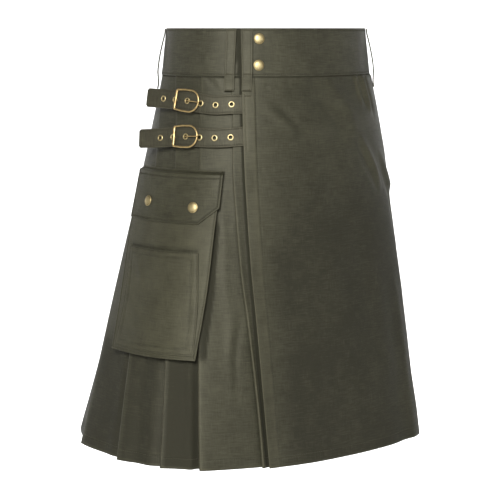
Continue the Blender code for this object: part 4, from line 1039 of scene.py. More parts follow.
def strip(name, line, across, out, width, cloth, material, lengths, keep=None, tail=0.0,
          groove_in=LOOP_STITCH, tone_shift=0.0):
    """Strip along a line: its section is width wide and cloth thick, with rounded, stitched edges."""
    half = width / 2
    lead = np.array([0, 0.15, 0.4, 0.8]) * MM
    side = np.concatenate([lead, [groove_in - 0.7 * MM, groove_in, groove_in + 0.7 * MM]])
    inner_end = half - groove_in - 1.4 * MM
    inner = np.linspace(-inner_end, inner_end, max(int(width / MM / 1.15), 6))
    places = np.concatenate([-half + side, inner, (half - side)[::-1]])
    narrow = np.ones(len(line))
    if tail:
        left = np.clip((lengths[-1] - lengths) / tail, 0, 1)
        narrow = 1 - (1 - left) * tail / half
    wide = places[None, :] * narrow[:, None]
    from_side = half * narrow[:, None] - np.abs(wide)
    from_end = np.minimum(lengths - lengths[0], lengths[-1] - lengths)[:, None]
    groove = bell(from_side, groove_in, 0.7 * MM)
    thick = cloth / 2 * rounded(np.minimum(from_side, from_end), cloth / 2)
    swell = (waves(wide / MM, lengths[:, None] / MM, len(name), 21, 0.05) * MM - 0.22 * MM * groove)
    middle = line[:, None] + across[:, None] * wide[..., None]
    outer = middle + out[:, None] * (thick + swell)[..., None]
    under = middle - out[:, None] * (thick - 0.5 * swell)[..., None]
    wear_and_shade = tone_shift + 0.7 * bell(np.minimum(from_side, from_end), 0, 0.9 * MM) - 0.5 * groove
    uv = np.tile(np.stack([wide + half, lengths[:, None] + 0 * wide], -1).reshape(-1, 2), (2, 1))
    if keep is not None:
        cell_wide = (wide[:-1, :-1] + wide[1:, 1:]) / 2
        cell_length = ((lengths[:-1] + lengths[1:]) / 2)[:, None] + 0 * cell_wide
        keep = keep(cell_wide, cell_length)
    points = np.concatenate([outer.reshape(-1, 3), under.reshape(-1, 3)])
    faces = shell_faces(*wide.shape, keep)
    return add_piece(name, points, faces, material, uv, np.tile(wear_and_shade.reshape(-1), 2))


LOOP_PLACES = (-0.317, -0.267, -0.65, 0.308, 0.65, 1.0)
LOOP_SHAPE = ((0.5, 0), (8, 0.1), (18, 1.6), (31, 3.4), (46, 4.6), (60, 4.6), (72, 2.6), (79, 1.4), (86, 1.2))
LOOP_WIDTH, LOOP_CLOTH, FOLD_LOOP_LIFT = 14 * MM, 1.6 * MM, 0.5
loops, loop_lines = [], []
for number, share in enumerate(LOOP_PLACES, start=1):
    arc = share * BODY.half(BAND_DEPTH / 2, share)
    band = band_front_stand(arc) if -126 < arc < 137 else BAND_STAND
    face = band + BAND_CLOTH / 2 + SEAM + 0.8 + (FOLD_LOOP_LIFT if share == 0.308 else 0)
    shape = np.array(LOOP_SHAPE)
    upright = share * BODY.half(shape[:, 0], share)
    here, _, side, _ = BODY.axes(upright, face + shape[:, 1], shape[:, 0])
    placed, lengths = spline(np.concatenate([here, side], axis=1), 64)
    line, across = placed[:, :3], unit(placed[:, 3:])
    run = unit(np.gradient(line, axis=0))
    out = unit(np.cross(across, -run))
    loop_lines.append((line, out, across))
    # Side loops, seen edge on, are darkened as painted shade; the front loops are drawn lighter.
    loop = strip(f"cloth_belt_loop_{number}", line, across, out, LOOP_WIDTH, LOOP_CLOTH, OLIVE_BAND, lengths,
                 tone_shift=0.4 if abs(share) < 0.5 else -0.5)
    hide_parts(f"belt_loop_{number}")
    loops.append((loop, "waistband_front" if -126 < arc < 137 else "waistband_back"))

# %% [markdown]
# ## Straps
# Two straps leave from under the apron's edge, run back over the pleats and through their buckles, and end
# in free tails that bend away from the body. Their line is a smooth curve through the part's own places, and
# it leans with the flare of the cloth below.

# %% Straps
STRAP_RUNS = {
    "upper": ((111.5, 3.6, 104), (130.5, 4.5, 104), (145, 6.2, 104), (165.5, 6.6, 105), (184.5, 6.9, 103),
              (203, 8.2, 100), (221.5, 9.8, 99), (243, 14.0, 98), (267.5, 27.0, 97)),
    "lower": ((117, 3.6, 148), (136.5, 4.5, 148), (149.5, 6.2, 149), (167, 6.7, 150), (185, 7.0, 150),
              (206.5, 8.3, 149), (228, 10.2, 150), (248.5, 15.0, 152), (282, 31.0, 155)),
}
FIRST_EYELET = {"upper": 33 * MM, "lower": 33.5 * MM}
EYELET_PITCH, EYELETS_EACH, BUCKLED_EYELET = 22 * MM, 6, 3
STRAP_WIDTH, STRAP_STITCH, HOLE_RADIUS = 26.5 * MM, 2.6 * MM, 3.3 * MM


class StrapLine:
    """Smooth run of a strap: places and directions by the length along it."""

    def __init__(self, rows):
        self.rows = np.array(rows, float)
        here, _, _, up = BODY.axes(-self.rows[:, 0], self.rows[:, 1], self.rows[:, 2])
        fine, self.lengths = spline(np.concatenate([here, up], axis=1), 400)
        self.fine = fine
        self.length = self.lengths[-1]
        self.knots = [self.lengths[np.argmin(np.linalg.norm(fine[:, :3] - spot, axis=1))] for spot in here]

    def read(self, lengths, columns):
        return np.stack([np.interp(lengths, self.lengths, self.fine[:, k]) for k in columns], -1)

    def axes(self, lengths):
        """Place, outward, backward along the strap and up across it."""
        lengths = np.asarray(lengths, float)
        along = unit(self.read(np.minimum(lengths + 6 * MM, self.length), (0, 1, 2))
                     - self.read(np.maximum(lengths - 6 * MM, 0), (0, 1, 2)))
        out = unit(np.cross(self.read(lengths, (3, 4, 5)), along))
        return self.read(lengths, (0, 1, 2)), out, along, np.cross(along, out)


def eyelet_spots(name):
    """Lengths along a strap at which its eyelets sit."""
    return FIRST_EYELET[name] + np.arange(EYELETS_EACH) * EYELET_PITCH


def strap_ripple(name, lengths):
    """Small waves of a strap, in metres outward, that grow from its sewn end."""
    return waves(lengths / MM, 0 * lengths, 3 + len(name), 38, 0.35) * smooth(0, 20 * MM, lengths) * MM


STRAPS = {name: StrapLine(rows) for name, rows in STRAP_RUNS.items()}
for name, path in STRAPS.items():
    holes = eyelet_spots(name)
    lead = np.array([0, 0.2, 0.5, 0.9]) * MM
    middle = np.linspace(1.8 * MM, path.length - 1.8 * MM, int(path.length / MM / 1.1))
    lengths = np.unique(np.concatenate([lead, middle, path.length - lead]))
    here, out, along, up = path.axes(lengths)
    line = here + out * strap_ripple(name, lengths)[:, None]

    def clear_of_holes(across, along, holes=holes):
        return np.min(np.hypot(along[..., None] - holes, across[..., None]), -1) > HOLE_RADIUS

    piece = strip(f"cloth_strap_{name}", line, up, out, STRAP_WIDTH, STRAP_CLOTH * MM, OLIVE_STRAP, lengths,
                  keep=clear_of_holes, tail=3 * MM, groove_in=STRAP_STITCH)
    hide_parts(f"strap_{name}")
    print("strap", name, "length in mm:", round(path.length / MM, 1))

# %% [markdown]
# ## Turned and bent metal
# Snaps and eyelets are turned shapes: one side view spun round an axis. Buckles and prongs are wire: a round
# section carried along a bent line. Both are grids again, closed in a ring, with a single point at each pole.

# %% Turned and bent shapes
def turned(profile, sides):
    """Ring of points for each radius and height of the profile, at even turns about +Z."""
    profile = np.asarray(profile, float)
    turns = np.arange(sides) * 2 * np.pi / sides
    return np.stack([profile[:, :1] * np.cos(turns), profile[:, :1] * np.sin(turns),
                     profile[:, 1:] + 0 * turns], -1) * MM


def ring_faces(rings, sides, looped=False, poles=False):
    """Faces between rings; with poles, the first and last ring shrink to one point and give triangles."""
    number = np.arange(rings * sides).reshape(rings, sides)
    if poles:
        number[0], number[-1] = number[0, 0], number[-1, 0]
    following = np.roll(number, -1, axis=0) if looped else number[1:]
    near = number if looped else number[:-1]
    faces = np.stack([near, np.roll(near, -1, axis=1), np.roll(following, -1, axis=1), following], -1)
    return faces.reshape(-1, 4)


def many(shape, faces, places):
    """Points and faces of copies of a shape, each at a place with its outward and two other axes."""
    points, all_faces = [], []
    for number, (here, out, side, up) in enumerate(places):
        points.append(here + shape[..., :1] * side + shape[..., 1:2] * up + shape[..., 2:] * out)
        all_faces.append(faces + number * shape[..., 0].size)
    return np.concatenate([part.reshape(-1, 3) for part in points]), np.concatenate(all_faces)


def tube(line, radii, sides, across, looped=False):
    """Round section along a line; across is square to the plane in which the line bends."""
    line = np.asarray(line, float)
    if looped:
        run = unit(np.roll(line, -1, axis=0) - np.roll(line, 1, axis=0))
    else:
        run = unit(np.gradient(line, axis=0))
    first = unit(np.cross(run, across))
    second = np.cross(first, run)
    turns = np.arange(sides) * 2 * np.pi / sides
    radii = np.broadcast_to(np.asarray(radii, float).reshape(-1, 1), (len(line), 1))
    ring = np.cos(turns)[None, :, None] * first[:, None] + np.sin(turns)[None, :, None] * second[:, None]
    return line[:, None] + ring * radii[..., None]


def finished(name, points, faces, material, nodes, wear_and_shade=None):
    piece = add_piece(name, points, faces, material, wear_and_shade=wear_and_shade, creased=60)
    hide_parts(*nodes)
    return piece


# %% [markdown]
# ## Eyelets
# An eyelet is a rolled ring: a neck goes through the hole, rolls outward over the cloth and is set flat
# behind it. Its side view is one closed line, so a ring is that line spun round.

# %% Eyelets
face = STRAP_CLOTH / 2 + SEAM
EYELET = np.array([(2.5, -face - 0.4), (2.5, face - 0.2), (2.56, face + 0.3), (2.8, face + 0.58),
                   (3.2, face + 0.7), (3.7, face + 0.62), (4.15, face + 0.42), (4.42, face + 0.2),
                   (4.5, face), (3.0, face), (3.0, -face), (4.1, -face), (4.05, -face - 0.3),
                   (3.8, -face - 0.4)])
EYELET_SIDES = 28
ring = turned(EYELET, EYELET_SIDES)
ring_wear = np.repeat([0.1, 0.3, 0.6, 0.9, 1, 0.9, 0.7, 0.4, 0.1, 0, 0, 0.1, 0.3, 0.2], EYELET_SIDES)
for name, path in STRAPS.items():
    here, out, along, up = path.axes(eyelet_spots(name))
    points, faces = many(ring, ring_faces(len(EYELET), EYELET_SIDES, looped=True), zip(here, out, along, up))
    nodes = [f"eyelet_{name}_{number}" for number in range(1, EYELETS_EACH + 1)]
    finished(f"brass_eyelets_{name}", points, faces, BRASS, nodes,
             np.tile(ring_wear, EYELETS_EACH))

# %% [markdown]
# ## Buckles
# Each buckle is a cast frame with a straight heavy bar over the strap's tail and a rounded end towards the
# apron. A thinner bar crosses under the strap and holds the prong, which comes up through the fourth eyelet
# and rests on the rounded end. The frame is one looped line whose radius grows along the heavy bar.

# %% Buckles
WIRE, BACK_BAR, BUCKLE_BACK, BUCKLE_LIFT, BAR_THICK = 2.5, 3.8, 18.0, 3.9, 2.0
SIDE_AT, FRONT_AT, ROUND_END = 14.75, 21.4, 15.0
FRAME_SIDES, BAR_SIDES = 14, 12


def frame_line():
    """Points round the frame, in mm along the strap and up: bar, rounded back corners, sides, round end."""
    turn = np.linspace(0, np.pi / 2, 9)
    back = [(BUCKLE_BACK + 3 * (np.cos(t) - 1), SIDE_AT - 1 + 3 * (np.sin(t) - 1)) for t in turn]
    side = [(x, SIDE_AT - 1 + smooth(15, 4, x))
            for x in np.linspace(BUCKLE_BACK - 5, ROUND_END - FRONT_AT + 1, 9)]
    front = [(-FRONT_AT + ROUND_END * (1 - np.sin(t)), SIDE_AT * np.cos(t))
             for t in np.linspace(0, np.pi / 2, 20)]
    upper = back + side + front
    lower = [(x, -y) for x, y in upper[-2::-1]]
    bar = [(BUCKLE_BACK, y) for y in np.linspace(5 - SIDE_AT, SIDE_AT - 5, 12)]
    return np.array(upper + lower + bar)


flat = frame_line()
at_bar = smooth(BUCKLE_BACK - 3, BUCKLE_BACK, flat[:, 0])
wide = (WIRE / 2 + (BACK_BAR - WIRE) / 2 * at_bar) * MM
BAR_LINE = np.array([(SIDE_AT, 0.3), (SIDE_AT, -3), (SIDE_AT, -5.4), (SIDE_AT - 0.35, -6.3),
                     (SIDE_AT - 1.3, -6.7)])
for name, path in STRAPS.items():
    spot = eyelet_spots(name)[BUCKLED_EYELET]
    here, out, along, up = (value[0] for value in path.axes([spot]))
    centre = here + out * BUCKLE_LIFT * MM
    line = centre + (flat[:, :1] * along + flat[:, 1:] * up) * MM
    frame_ring = tube(line, wide, FRAME_SIDES, out, looped=True)
    squeeze = 0.28 * at_bar[:, None, None] * (((frame_ring - line[:, None]) @ out)[..., None]) * out
    frame_ring = frame_ring - squeeze
    half_bar = np.vstack([BAR_LINE, (BAR_LINE * (-1, 1))[::-1]])
    straight = [(y, BAR_LINE[-1, 1]) for y in np.linspace(SIDE_AT - 3, 3 - SIDE_AT, 9)]
    bar_points = np.vstack([half_bar[:5], straight, half_bar[5:]])
    bar_line = centre + (bar_points[:, :1] * up + bar_points[:, 1:] * out) * MM
    round_bar = tube(bar_line, BAR_THICK / 2 * MM, BAR_SIDES, along)
    poles = np.broadcast_to(bar_line[[0, -1], None], (2, BAR_SIDES, 3))
    rod = np.concatenate([poles[:1], round_bar, poles[1:]])
    faces = [ring_faces(len(line), FRAME_SIDES, looped=True),
             ring_faces(len(rod), BAR_SIDES, poles=True) + frame_ring[..., 0].size]
    points = np.concatenate([frame_ring.reshape(-1, 3), rod.reshape(-1, 3)])
    outward = ((frame_ring - line[:, None]) @ out) / wide[:, None]
    # The heavy bar is darkened on its tail side: painted shade. The outer face is lighter where it is rubbed.
    tailward = np.clip(((frame_ring - line[:, None]) @ along) / wide[:, None], 0, 1)
    high = np.clip(0.35 + 0.7 * outward - 1.0 * tailward * at_bar[:, None], 0, 1)
    wear_and_shade = np.concatenate([high.reshape(-1), np.full(rod[..., 0].size, 0.2)])
    finished(f"brass_buckle_{name}", points, np.concatenate(faces), DARK_BRASS, [f"buckle_{name}"],
             wear_and_shade)
    run = np.array([(0, -0.6), (0, 1.6), (-2.6, 3.7), (-11, 5.1), (-20, 6.3), (-24, 6.4)])
    prong_line, reached = spline(here + (run[:, :1] * along + run[:, 1:] * out) * MM, 30)
    left = np.minimum(reached[-1] - reached, reached)
    thick = (1.0 - 0.25 * reached / reached[-1]) * MM * np.sqrt(np.clip(1 - (1 - left / (0.8 * MM)), 0.0, 1))
    rod = tube(prong_line, thick, BAR_SIDES, up)
    prong_wear = np.clip(0.4 + 0.6 * ((rod - prong_line[:, None]) @ out) / (1.0 * MM), 0, 1)
    finished(f"brass_prong_{name}", rod, ring_faces(len(rod), BAR_SIDES, poles=True), DARK_BRASS,
             [f"prong_{name}"], prong_wear)

# %% [markdown]
# ## Tabs behind the buckles
# A buckle has to be sewn to something. Behind each one a short tab lies on the pleats, under the strap's
# tail, where it hardly shows. It is a strip like the others, laid just over the edges of the folds.

# %% Tabs behind the buckles
TAB_CLOTH, TAB_WIDTH, TAB_LENGTH, TAB_START = 1.4, 24, 30, 2.4


def pleat_face(down):
    """Stand just over the fold edges of the pleats."""
    return curve(STANDS, 2, down) + CANVAS / 2 + SEAM + 0.4


for name, path in STRAPS.items():
    spot = eyelet_spots(name)[BUCKLED_EYELET]
    arc, down = (np.interp(spot, path.knots, path.rows[:, k]) for k in (0, 2))
    steps = np.linspace(TAB_START, TAB_LENGTH, 28)
    here, out, _, up = BODY.axes(-arc - steps, pleat_face(down) + TAB_CLOTH / 2 + 0 * steps, down + 0 * steps)
    tab = strip(f"cloth_buckle_tab_{name}", here, up, out, TAB_WIDTH * MM, TAB_CLOTH * MM, OLIVE_STRAP,
                steps * MM)
    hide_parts(f"buckle_tab_{name}")

# %% [markdown]
# ## Snaps
# The snap caps are low domes with a rolled rim, pressed through the cloth.

# %% Snaps
CAP = np.array([(0, 0), (6.9, 0), (7.3, 0.12), (7.48, 0.4), (7.5, 0.7), (7.38, 1.02), (7.05, 1.3),
                (6.7, 1.42), (6.35, 1.5), (6.0, 1.72), (5.2, 2.08), (4.2, 2.37), (3.0, 2.6), (1.6, 2.75),
                (0, 2.8)])
CAP_SIDES = 32
CAP_WEAR = np.repeat([0, 0, 0.1, 0.4, 0.7, 0.8, 0.6, 0.1, 0.0, 0.35, 0.6, 0.8, 0.95, 1, 1], CAP_SIDES)
cap = turned(CAP, CAP_SIDES)


def snap(name, arc, stand, down):
    place = BODY.axes(arc, stand + SEAM, down)
    points, faces = many(cap, ring_faces(len(CAP), CAP_SIDES, poles=True), [place])
    return finished(f"brass_{name}", points, faces, BRASS, [name], CAP_WEAR)


for name, arc, down in (("waist_snap_upper", -99.5, 14.5), ("waist_snap_lower", -102.5, 50.5)):
    snap(name, arc, band_front_stand(arc) + BAND_CLOTH / 2, down)

# %% [markdown]
# ## Cargo pocket
# The pocket hangs on the wearer's right. Its face stands off the pleats on a side that folds inwards like
# bellows. So the piece is one grid whose edge runs up from the pleats, in, out again and over a stitched lip
# onto the face. The patch pocket on it is the same shape in a smaller depth, and both mouths are open.

# %% Cargo pocket
# down, front edge, back edge, height of the face
POCKET = np.array([(202.5, 164.5, 313.5, 11.0), (270, 178, 329.5, 13.0), (355, 194, 339, 16.0),
                   (452, 217, 355.5, 19.5)])
PATCH = np.array([(306.5, 201, 319, 3.6), (375, 207, 327.5, 2.6), (446, 218.5, 347.5, 2.0)])
# Side views from the cloth below up to the lip: distance in from the edge, and share of the height
LIP = [(1.4, 1), (2.2, 1), (3.0, 1), (3.8, 1), (5.0, 1)]
BELLOWS = np.array([(2.6, 0), (0.9, 0.02), (0.5, 0.1), (1.6, 0.26), (3.0, 0.4), (3.3, 0.48), (2.9, 0.56),
                    (1.3, 0.7), (0.5, 0.8), (0.08, 0.88), (0, 0.94), (0.25, 0.985), (0.7, 1)] + LIP)
PLAIN_SIDE = np.array([(0.9, 0), (0.3, 0.06), (0, 0.3), (0, 0.6), (0.12, 0.82), (0.4, 0.95), (0.8, 1)] + LIP)
POCKET_STITCH, PATCH_STITCHES = 2.6, (2.2, 9.0)


def tray(name, table, side, floor_at, face_at, cloth, steps, relief, grooves, painted_shadow_line=None):
    """Pocket on a grid: its sides and bottom follow a side view of inset and share of the height.

    The line of places given as arc and down is darkened along it, as painted shadow just above an open mouth.
    """
    top, bottom = table[0, 0], table[-1, 0]
    inset, height = side[:, 0], side[:, 1]
    lead = np.array([0, 0.2, 0.5, 0.9, 1.6, 2.4, 3.2, 4.2])
    rows = np.concatenate([top + lead, np.linspace(top + 6, bottom - 7, steps[0]), bottom - inset[::-1]])
    raise_row = np.concatenate([np.ones(len(lead) + steps[0]), height[::-1]])
    inner = np.linspace(0, 1, steps[1] + 2)[1:-1]
    raise_column = np.concatenate([height, np.ones(steps[1]), height[::-1]])
    front, back = curve(table, 1, rows)[:, None], curve(table, 2, rows)[:, None]
    skins = []
    for way in (0, 1):
        sunk = cloth * way
        left = front + inset + sunk * (height < 0.99) * 0.9
        right = back - inset[::-1] - sunk * (height[::-1] < 0.99) * 0.9
        middle = left[:, -1:] + inner * (right[:, :1] - left[:, -1:])
        arc = np.concatenate([left, middle, right], axis=1)
        down = rows[:, None] - sunk * (raise_row[:, None] < 0.99) * 0.9 + 0 * arc
        share = np.minimum(raise_row[:, None], raise_column)
        low = floor_at(down)
        thin = rounded(down - top, cloth / 2)
        lift = face_at(down) - cloth / 2 - low + cloth / 2 * thin * (1 - 2 * way)
        edge = np.minimum(np.minimum(arc - front, back - arc), np.minimum(bottom - down, down - top + 1.2))
        bumps = relief(arc, down, edge) * smooth(0.9, 1, share)
        dark = sum(bell(edge, inward, 0.85) for inward in grooves) * smooth(0.9, 1, share)
        skins.append((arc, low + lift * share + bumps, down))
    shape = skins[0][0].shape
    points = np.concatenate([BODY.place(-arc, stand, down).reshape(-1, 3) for arc, stand, down in skins])
    flat = np.stack([skins[0][0] - front, skins[0][2]], -1).reshape(-1, 2) * MM
    wear_and_shade = bell(raise_column, 0.97, 0.05) * np.ones((len(rows), 1))
    wear_and_shade = np.maximum(wear_and_shade, bell(raise_row[:, None], 0.97, 0.05))
    wear_and_shade = np.maximum(wear_and_shade, bell(rows[:, None], top, 1.1))
    if painted_shadow_line:
        # Painted shadow along the given line.
        arc, _, down = skins[0]
        dark = dark + 1.6 * crease(arc, down, painted_shadow_line, 2.6, 1.0, (0, 0))
    return add_piece(name, points, shell_faces(*shape), OLIVE_POCKET, np.tile(flat, (2, 1)),
                     np.tile((0.7 * wear_and_shade - 0.6 * dark).reshape(-1), 2))


def pocket_face(down):
    return curve(POCKET, 3, down)


def patch_face(down):
    return pocket_face(down) + curve(PATCH, 3, down)


def pocket_relief(arc, down, edge):
    """Stitched line along the lip, a hollow in the middle, and long soft creases."""
    groove = -0.34 * bell(edge, POCKET_STITCH, 0.8)
    relief = waves(arc, down, 51, 70, 0.5) + waves(arc, down, 52, 26, 0.14)
    relief = relief + crease(arc, down, [(196, 300), (206, 370), (215, 430)], 4.5, -0.5)
    relief = relief + crease(arc, down, [(330, 290), (336, 350)], 6, 0.6)
    relief = relief * smooth(2.5, 12, edge) + puckers(arc + down, edge - POCKET_STITCH, 53, 0.16)
    return relief + groove + 0.35 * smooth(3.4, 1.8, edge)


def patch_relief(arc, down, edge):
    groove = -0.3 * bell(edge, PATCH_STITCHES[0], 0.75) - 0.24 * bell(edge, PATCH_STITCHES[1], 0.75)
    relief = waves(arc, down, 61, 60, 0.45) + waves(arc, down, 62, 24, 0.14)
    relief = relief + crease(arc, down, [(232, 330), (244, 372), (262, 400)], 6.5, -0.55)
    relief = relief + crease(arc, down, [(300, 322), (286, 360)], 7, 0.6)
    ripples = puckers(arc + down, edge - 5, 63, 0.16) * smooth(0, 1, edge)
    return relief * smooth(2.5, 12, edge) + groove + ripples


def patch_floor(down):
    return pocket_face(down) + SEAM


# A painted shadow lies along the line just above the patch pocket's mouth.
pocket = tray("cloth_pocket_body", POCKET, BELLOWS, pleat_face, pocket_face, PATCH_CLOTH, (92, 62),
              pocket_relief, grooves=(POCKET_STITCH,), painted_shadow_line=[(203, 304), (317, 304)])
patch = tray("cloth_pocket_patch", PATCH, PLAIN_SIDE, patch_floor, patch_face, CANVAS, (56, 52), patch_relief,
             grooves=PATCH_STITCHES)
for piece, node in ((pocket, "pocket_body"), (patch, "pocket_patch")):
    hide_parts(node)

# %% [markdown]
# ## Pocket flap
# The flap is sewn above the mouth, steps out over the pocket's face and hangs over it. One lower corner is
# clipped. Two rows of stitching follow its top, and one its free edges. Its grid runs from the seam to a
# lowest line that already has the clipped corner, so the cells need no cutting.

# %% Pocket flap
FLAP_TOP, FLAP_BOTTOM, FLAP_CORNER, FLAP_ARCS, FLAP_CLIP = 194.5, 268.0, 245.0, (161.5, 315.5), 0.16


def flap_stand(down):
    """Stand of the flap's middle: on the pleats at its seam, then out over the pocket's face."""
    sewn = pleat_face(FLAP_TOP) + PATCH_CLOTH / 2
    hanging = pocket_face(down) + SEAM + PATCH_CLOTH / 2 + 0.4
    return sewn + (hanging - sewn) * np.clip((down - FLAP_TOP - 1.5) / 4, 0, 1)


def flap_relief(arc, down):
    """Slow waves and two soft creases of the flap."""
    relief = waves(arc, down, 71, 55, 0.45)
    relief = relief + crease(arc, down, [(228, 214), (240, 232), (244, 262)], 7, -0.6)
    return relief + crease(arc, down, [(264, 262), (268, 236), (256, 212)], 8, 0.5)


# How far the flap's front edge moves back for every mm down, like the pocket's
FLAP_GROW = (curve(POCKET, 1, FLAP_BOTTOM) - curve(POCKET, 1, 202.5)) / (FLAP_BOTTOM - FLAP_TOP)
FLAP_STITCHES, FLAP_EDGE_STITCH = (2.6, 10.6), 3.0
FLAP_WIDTH, FLAP_FALL = FLAP_ARCS[1] - FLAP_ARCS[0], FLAP_BOTTOM - FLAP_TOP
lead = np.array([0, 0.2, 0.5, 0.9, 1.6, 2.3, 3.0, 3.7, 4.6])
between = np.array([5.4, 6.2, 7.2, 8.3, 9.2, 10, 10.7, 11.4, 12.2])
share = np.concatenate([lead, np.linspace(6, FLAP_WIDTH - 6, 82), FLAP_WIDTH - lead]) / FLAP_WIDTH
share = np.unique(np.append(share, FLAP_CLIP))
level = np.unique(np.concatenate([lead, between, np.linspace(13.5, 67.5, 32), FLAP_FALL - lead]) / FLAP_FALL)
lowest = np.interp(share, (0, FLAP_CLIP, 1), (FLAP_CORNER, FLAP_BOTTOM, FLAP_BOTTOM))
share_grid, level_grid = np.meshgrid(share, level)
down = FLAP_TOP + level_grid * (lowest - FLAP_TOP)
arc = FLAP_ARCS[0] + FLAP_GROW * (down - FLAP_TOP) + share_grid * FLAP_WIDTH
clip_slope = (FLAP_BOTTOM - FLAP_CORNER) / (FLAP_CLIP * FLAP_WIDTH)
clipped = (lowest - down) * np.where(share_grid < FLAP_CLIP, 1 / math.hypot(1, clip_slope), 1)
free_edge = np.minimum(np.minimum(share_grid, 1 - share_grid) * FLAP_WIDTH, clipped)
edge = np.minimum(free_edge, down - FLAP_TOP)
relief = flap_relief(arc, down) + waves(arc, down, 72, 20, 0.1)
relief = relief * smooth(2, 12, edge) + 0.3 * smooth(4, 2, free_edge)
relief += puckers(arc + down, edge - FLAP_EDGE_STITCH, 73, 0.16) * smooth(0, 1, edge)
groove = bell(free_edge, FLAP_EDGE_STITCH, 0.85)
for level in FLAP_STITCHES:
    groove = np.maximum(groove, bell(down - FLAP_TOP, level, 0.85))
relief -= 0.36 * groove
half = PATCH_CLOTH / 2 * rounded(edge, PATCH_CLOTH / 2)
points = np.concatenate([BODY.place(-arc, flap_stand(down) + relief + half, down).reshape(-1, 3),
                         BODY.place(-arc, flap_stand(down) + relief * 0.6 - half, down).reshape(-1, 3)])
uv = np.stack([share_grid * FLAP_WIDTH, down], -1).reshape(-1, 2) * MM
wear_and_shade = 0.6 * bell(edge, 0, 1.1) - 0.6 * groove
flap = add_piece("cloth_pocket_flap", points, shell_faces(*arc.shape), OLIVE_POCKET, np.tile(uv, (2, 1)),
                 np.tile(wear_and_shade.reshape(-1), 2))
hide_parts("pocket_flap")
for name, arc, down in (("flap_snap_front", -203.5, 245), ("flap_snap_back", -282.5, 241)):
    snap(name, arc, flap_stand(down) + PATCH_CLOTH / 2, down)

# %% [markdown]
# ## Stitches
# Every edge of a canvas kilt is stitched through its turned cloth in rows, with a thick thread. A stitch is a
# short bowed thread whose ends dive into the cloth. One shape of few faces is set down along every groove
# that the cells above pressed into the cloth. A bar tack is the same shape laid crosswise, close together.

# %% Stitches
STITCH_STEP, THREAD_RADIUS, STITCH_SIDES = 3.3, 0.27, 6
STITCH_RINGS = np.array([(-1.3, 0, -0.22), (-0.95, 0.24, 0.0), (0, THREAD_RADIUS, 0.12), (0.95, 0.24, 0.0),
                         (1.3, 0, -0.22)])
turns = np.arange(STITCH_SIDES) * 2 * np.pi / STITCH_SIDES
stitch = np.stack([STITCH_RINGS[:, :1] + 0 * turns, STITCH_RINGS[:, 1:2] * np.cos(turns),
                   STITCH_RINGS[:, 2:] + STITCH_RINGS[:, 1:2] * np.sin(turns)], -1) * MM
stitch_faces = ring_faces(len(STITCH_RINGS), STITCH_SIDES, poles=True)


def seam(line, out, step=STITCH_STEP, crosswise=False):
    """Even stitches along a line of points: place, outward, and the two directions along and across it."""
    reached = np.concatenate([[0], np.cumsum(np.linalg.norm(np.diff(line, axis=0), axis=1))]) / MM
    count = max(int(reached[-1] / step), 1)
    spots = (np.arange(count) + 0.5) * reached[-1] / count

    def read(field, spots):
        return np.stack([np.interp(spots, reached, field[:, k]) for k in range(3)], -1)

    here, outward = read(line, spots), unit(read(out, spots))
    along = unit(read(line, spots + 1) - read(line, spots - 1))
    outward = unit(outward - along * (outward * along).sum(-1, keepdims=True))
    across = np.cross(outward, along)
    return list(zip(here, outward, across, -along) if crosswise else zip(here, outward, along, across))


def dense(corners, step=1.5):
    """Points along straight runs between corners, about one step apart."""
    corners = np.asarray(corners, float)
    reached = np.concatenate([[0], np.cumsum(np.hypot(*np.diff(corners, axis=0).T))])
    spots = np.unique(np.concatenate([np.arange(0, reached[-1], step), reached]))
    return np.interp(spots, reached, corners[:, 0]), np.interp(spots, reached, corners[:, 1])


def body_seam(arc, stand, down, **style):
    arc, stand, down = np.broadcast_arrays(arc, stand, down)
    here, out, _, _ = BODY.axes(arc, stand, down)
    return seam(here, out, **style)


def sew(name, seams):
    """One mesh of all the stitches of some seams."""
    places = [place for run in seams for place in run]
    points, faces = many(stitch, stitch_faces, places)
    piece = add_piece(name, points, faces, THREAD)
    print(name, len(places), "stitches")
    return piece


def apron_skin(arc, down):
    """Stand of the apron's outer face at an arc."""
    edge, fold = curve(FOLDS, 1, down), curve(FOLDS, 2, down)
    turn = (curve(STANDS, 3, down) + RETURN_ROOM) / 2
    return apron_front((arc + edge) / (edge + fold - turn), down)[1] + apron_relief(arc, down) + CANVAS / 2


def apron_seam(corners, **style):
    """Seam on the apron along corners of distance from its free edge and down."""
    inward, down = dense(corners)
    arc = inward - curve(FOLDS, 1, down)
    return body_seam(arc, apron_skin(arc, down), down, **style)


hem_width = curve(FOLDS, 1, HEM_SEAM) + curve(FOLDS, 2, HEM_SEAM) - 4
skirt_seams = [apron_seam([(EDGE_STITCH, 69), (EDGE_STITCH, LENGTH - 2)]),
               apron_seam([(2, HEM_SEAM), (hem_width, HEM_SEAM)]),
               apron_seam([(BOX_INSET, BOX_TOP), (BOX_INSET, BOX_BOTTOM)]),
               apron_seam([(BOX_INSET, BOX_TOP), (EDGE_STITCH, BOX_TOP)]),
               apron_seam([(BOX_INSET, BOX_BOTTOM), (EDGE_STITCH, BOX_BOTTOM)]),
               apron_seam([(3, 92.5), (12, 92.5)], step=0.6, crosswise=True)]
skirt_seams += [body_seam(arc, stand, HEM_SEAM) for arc, stand in hems]
sew("thread_skirt", skirt_seams)

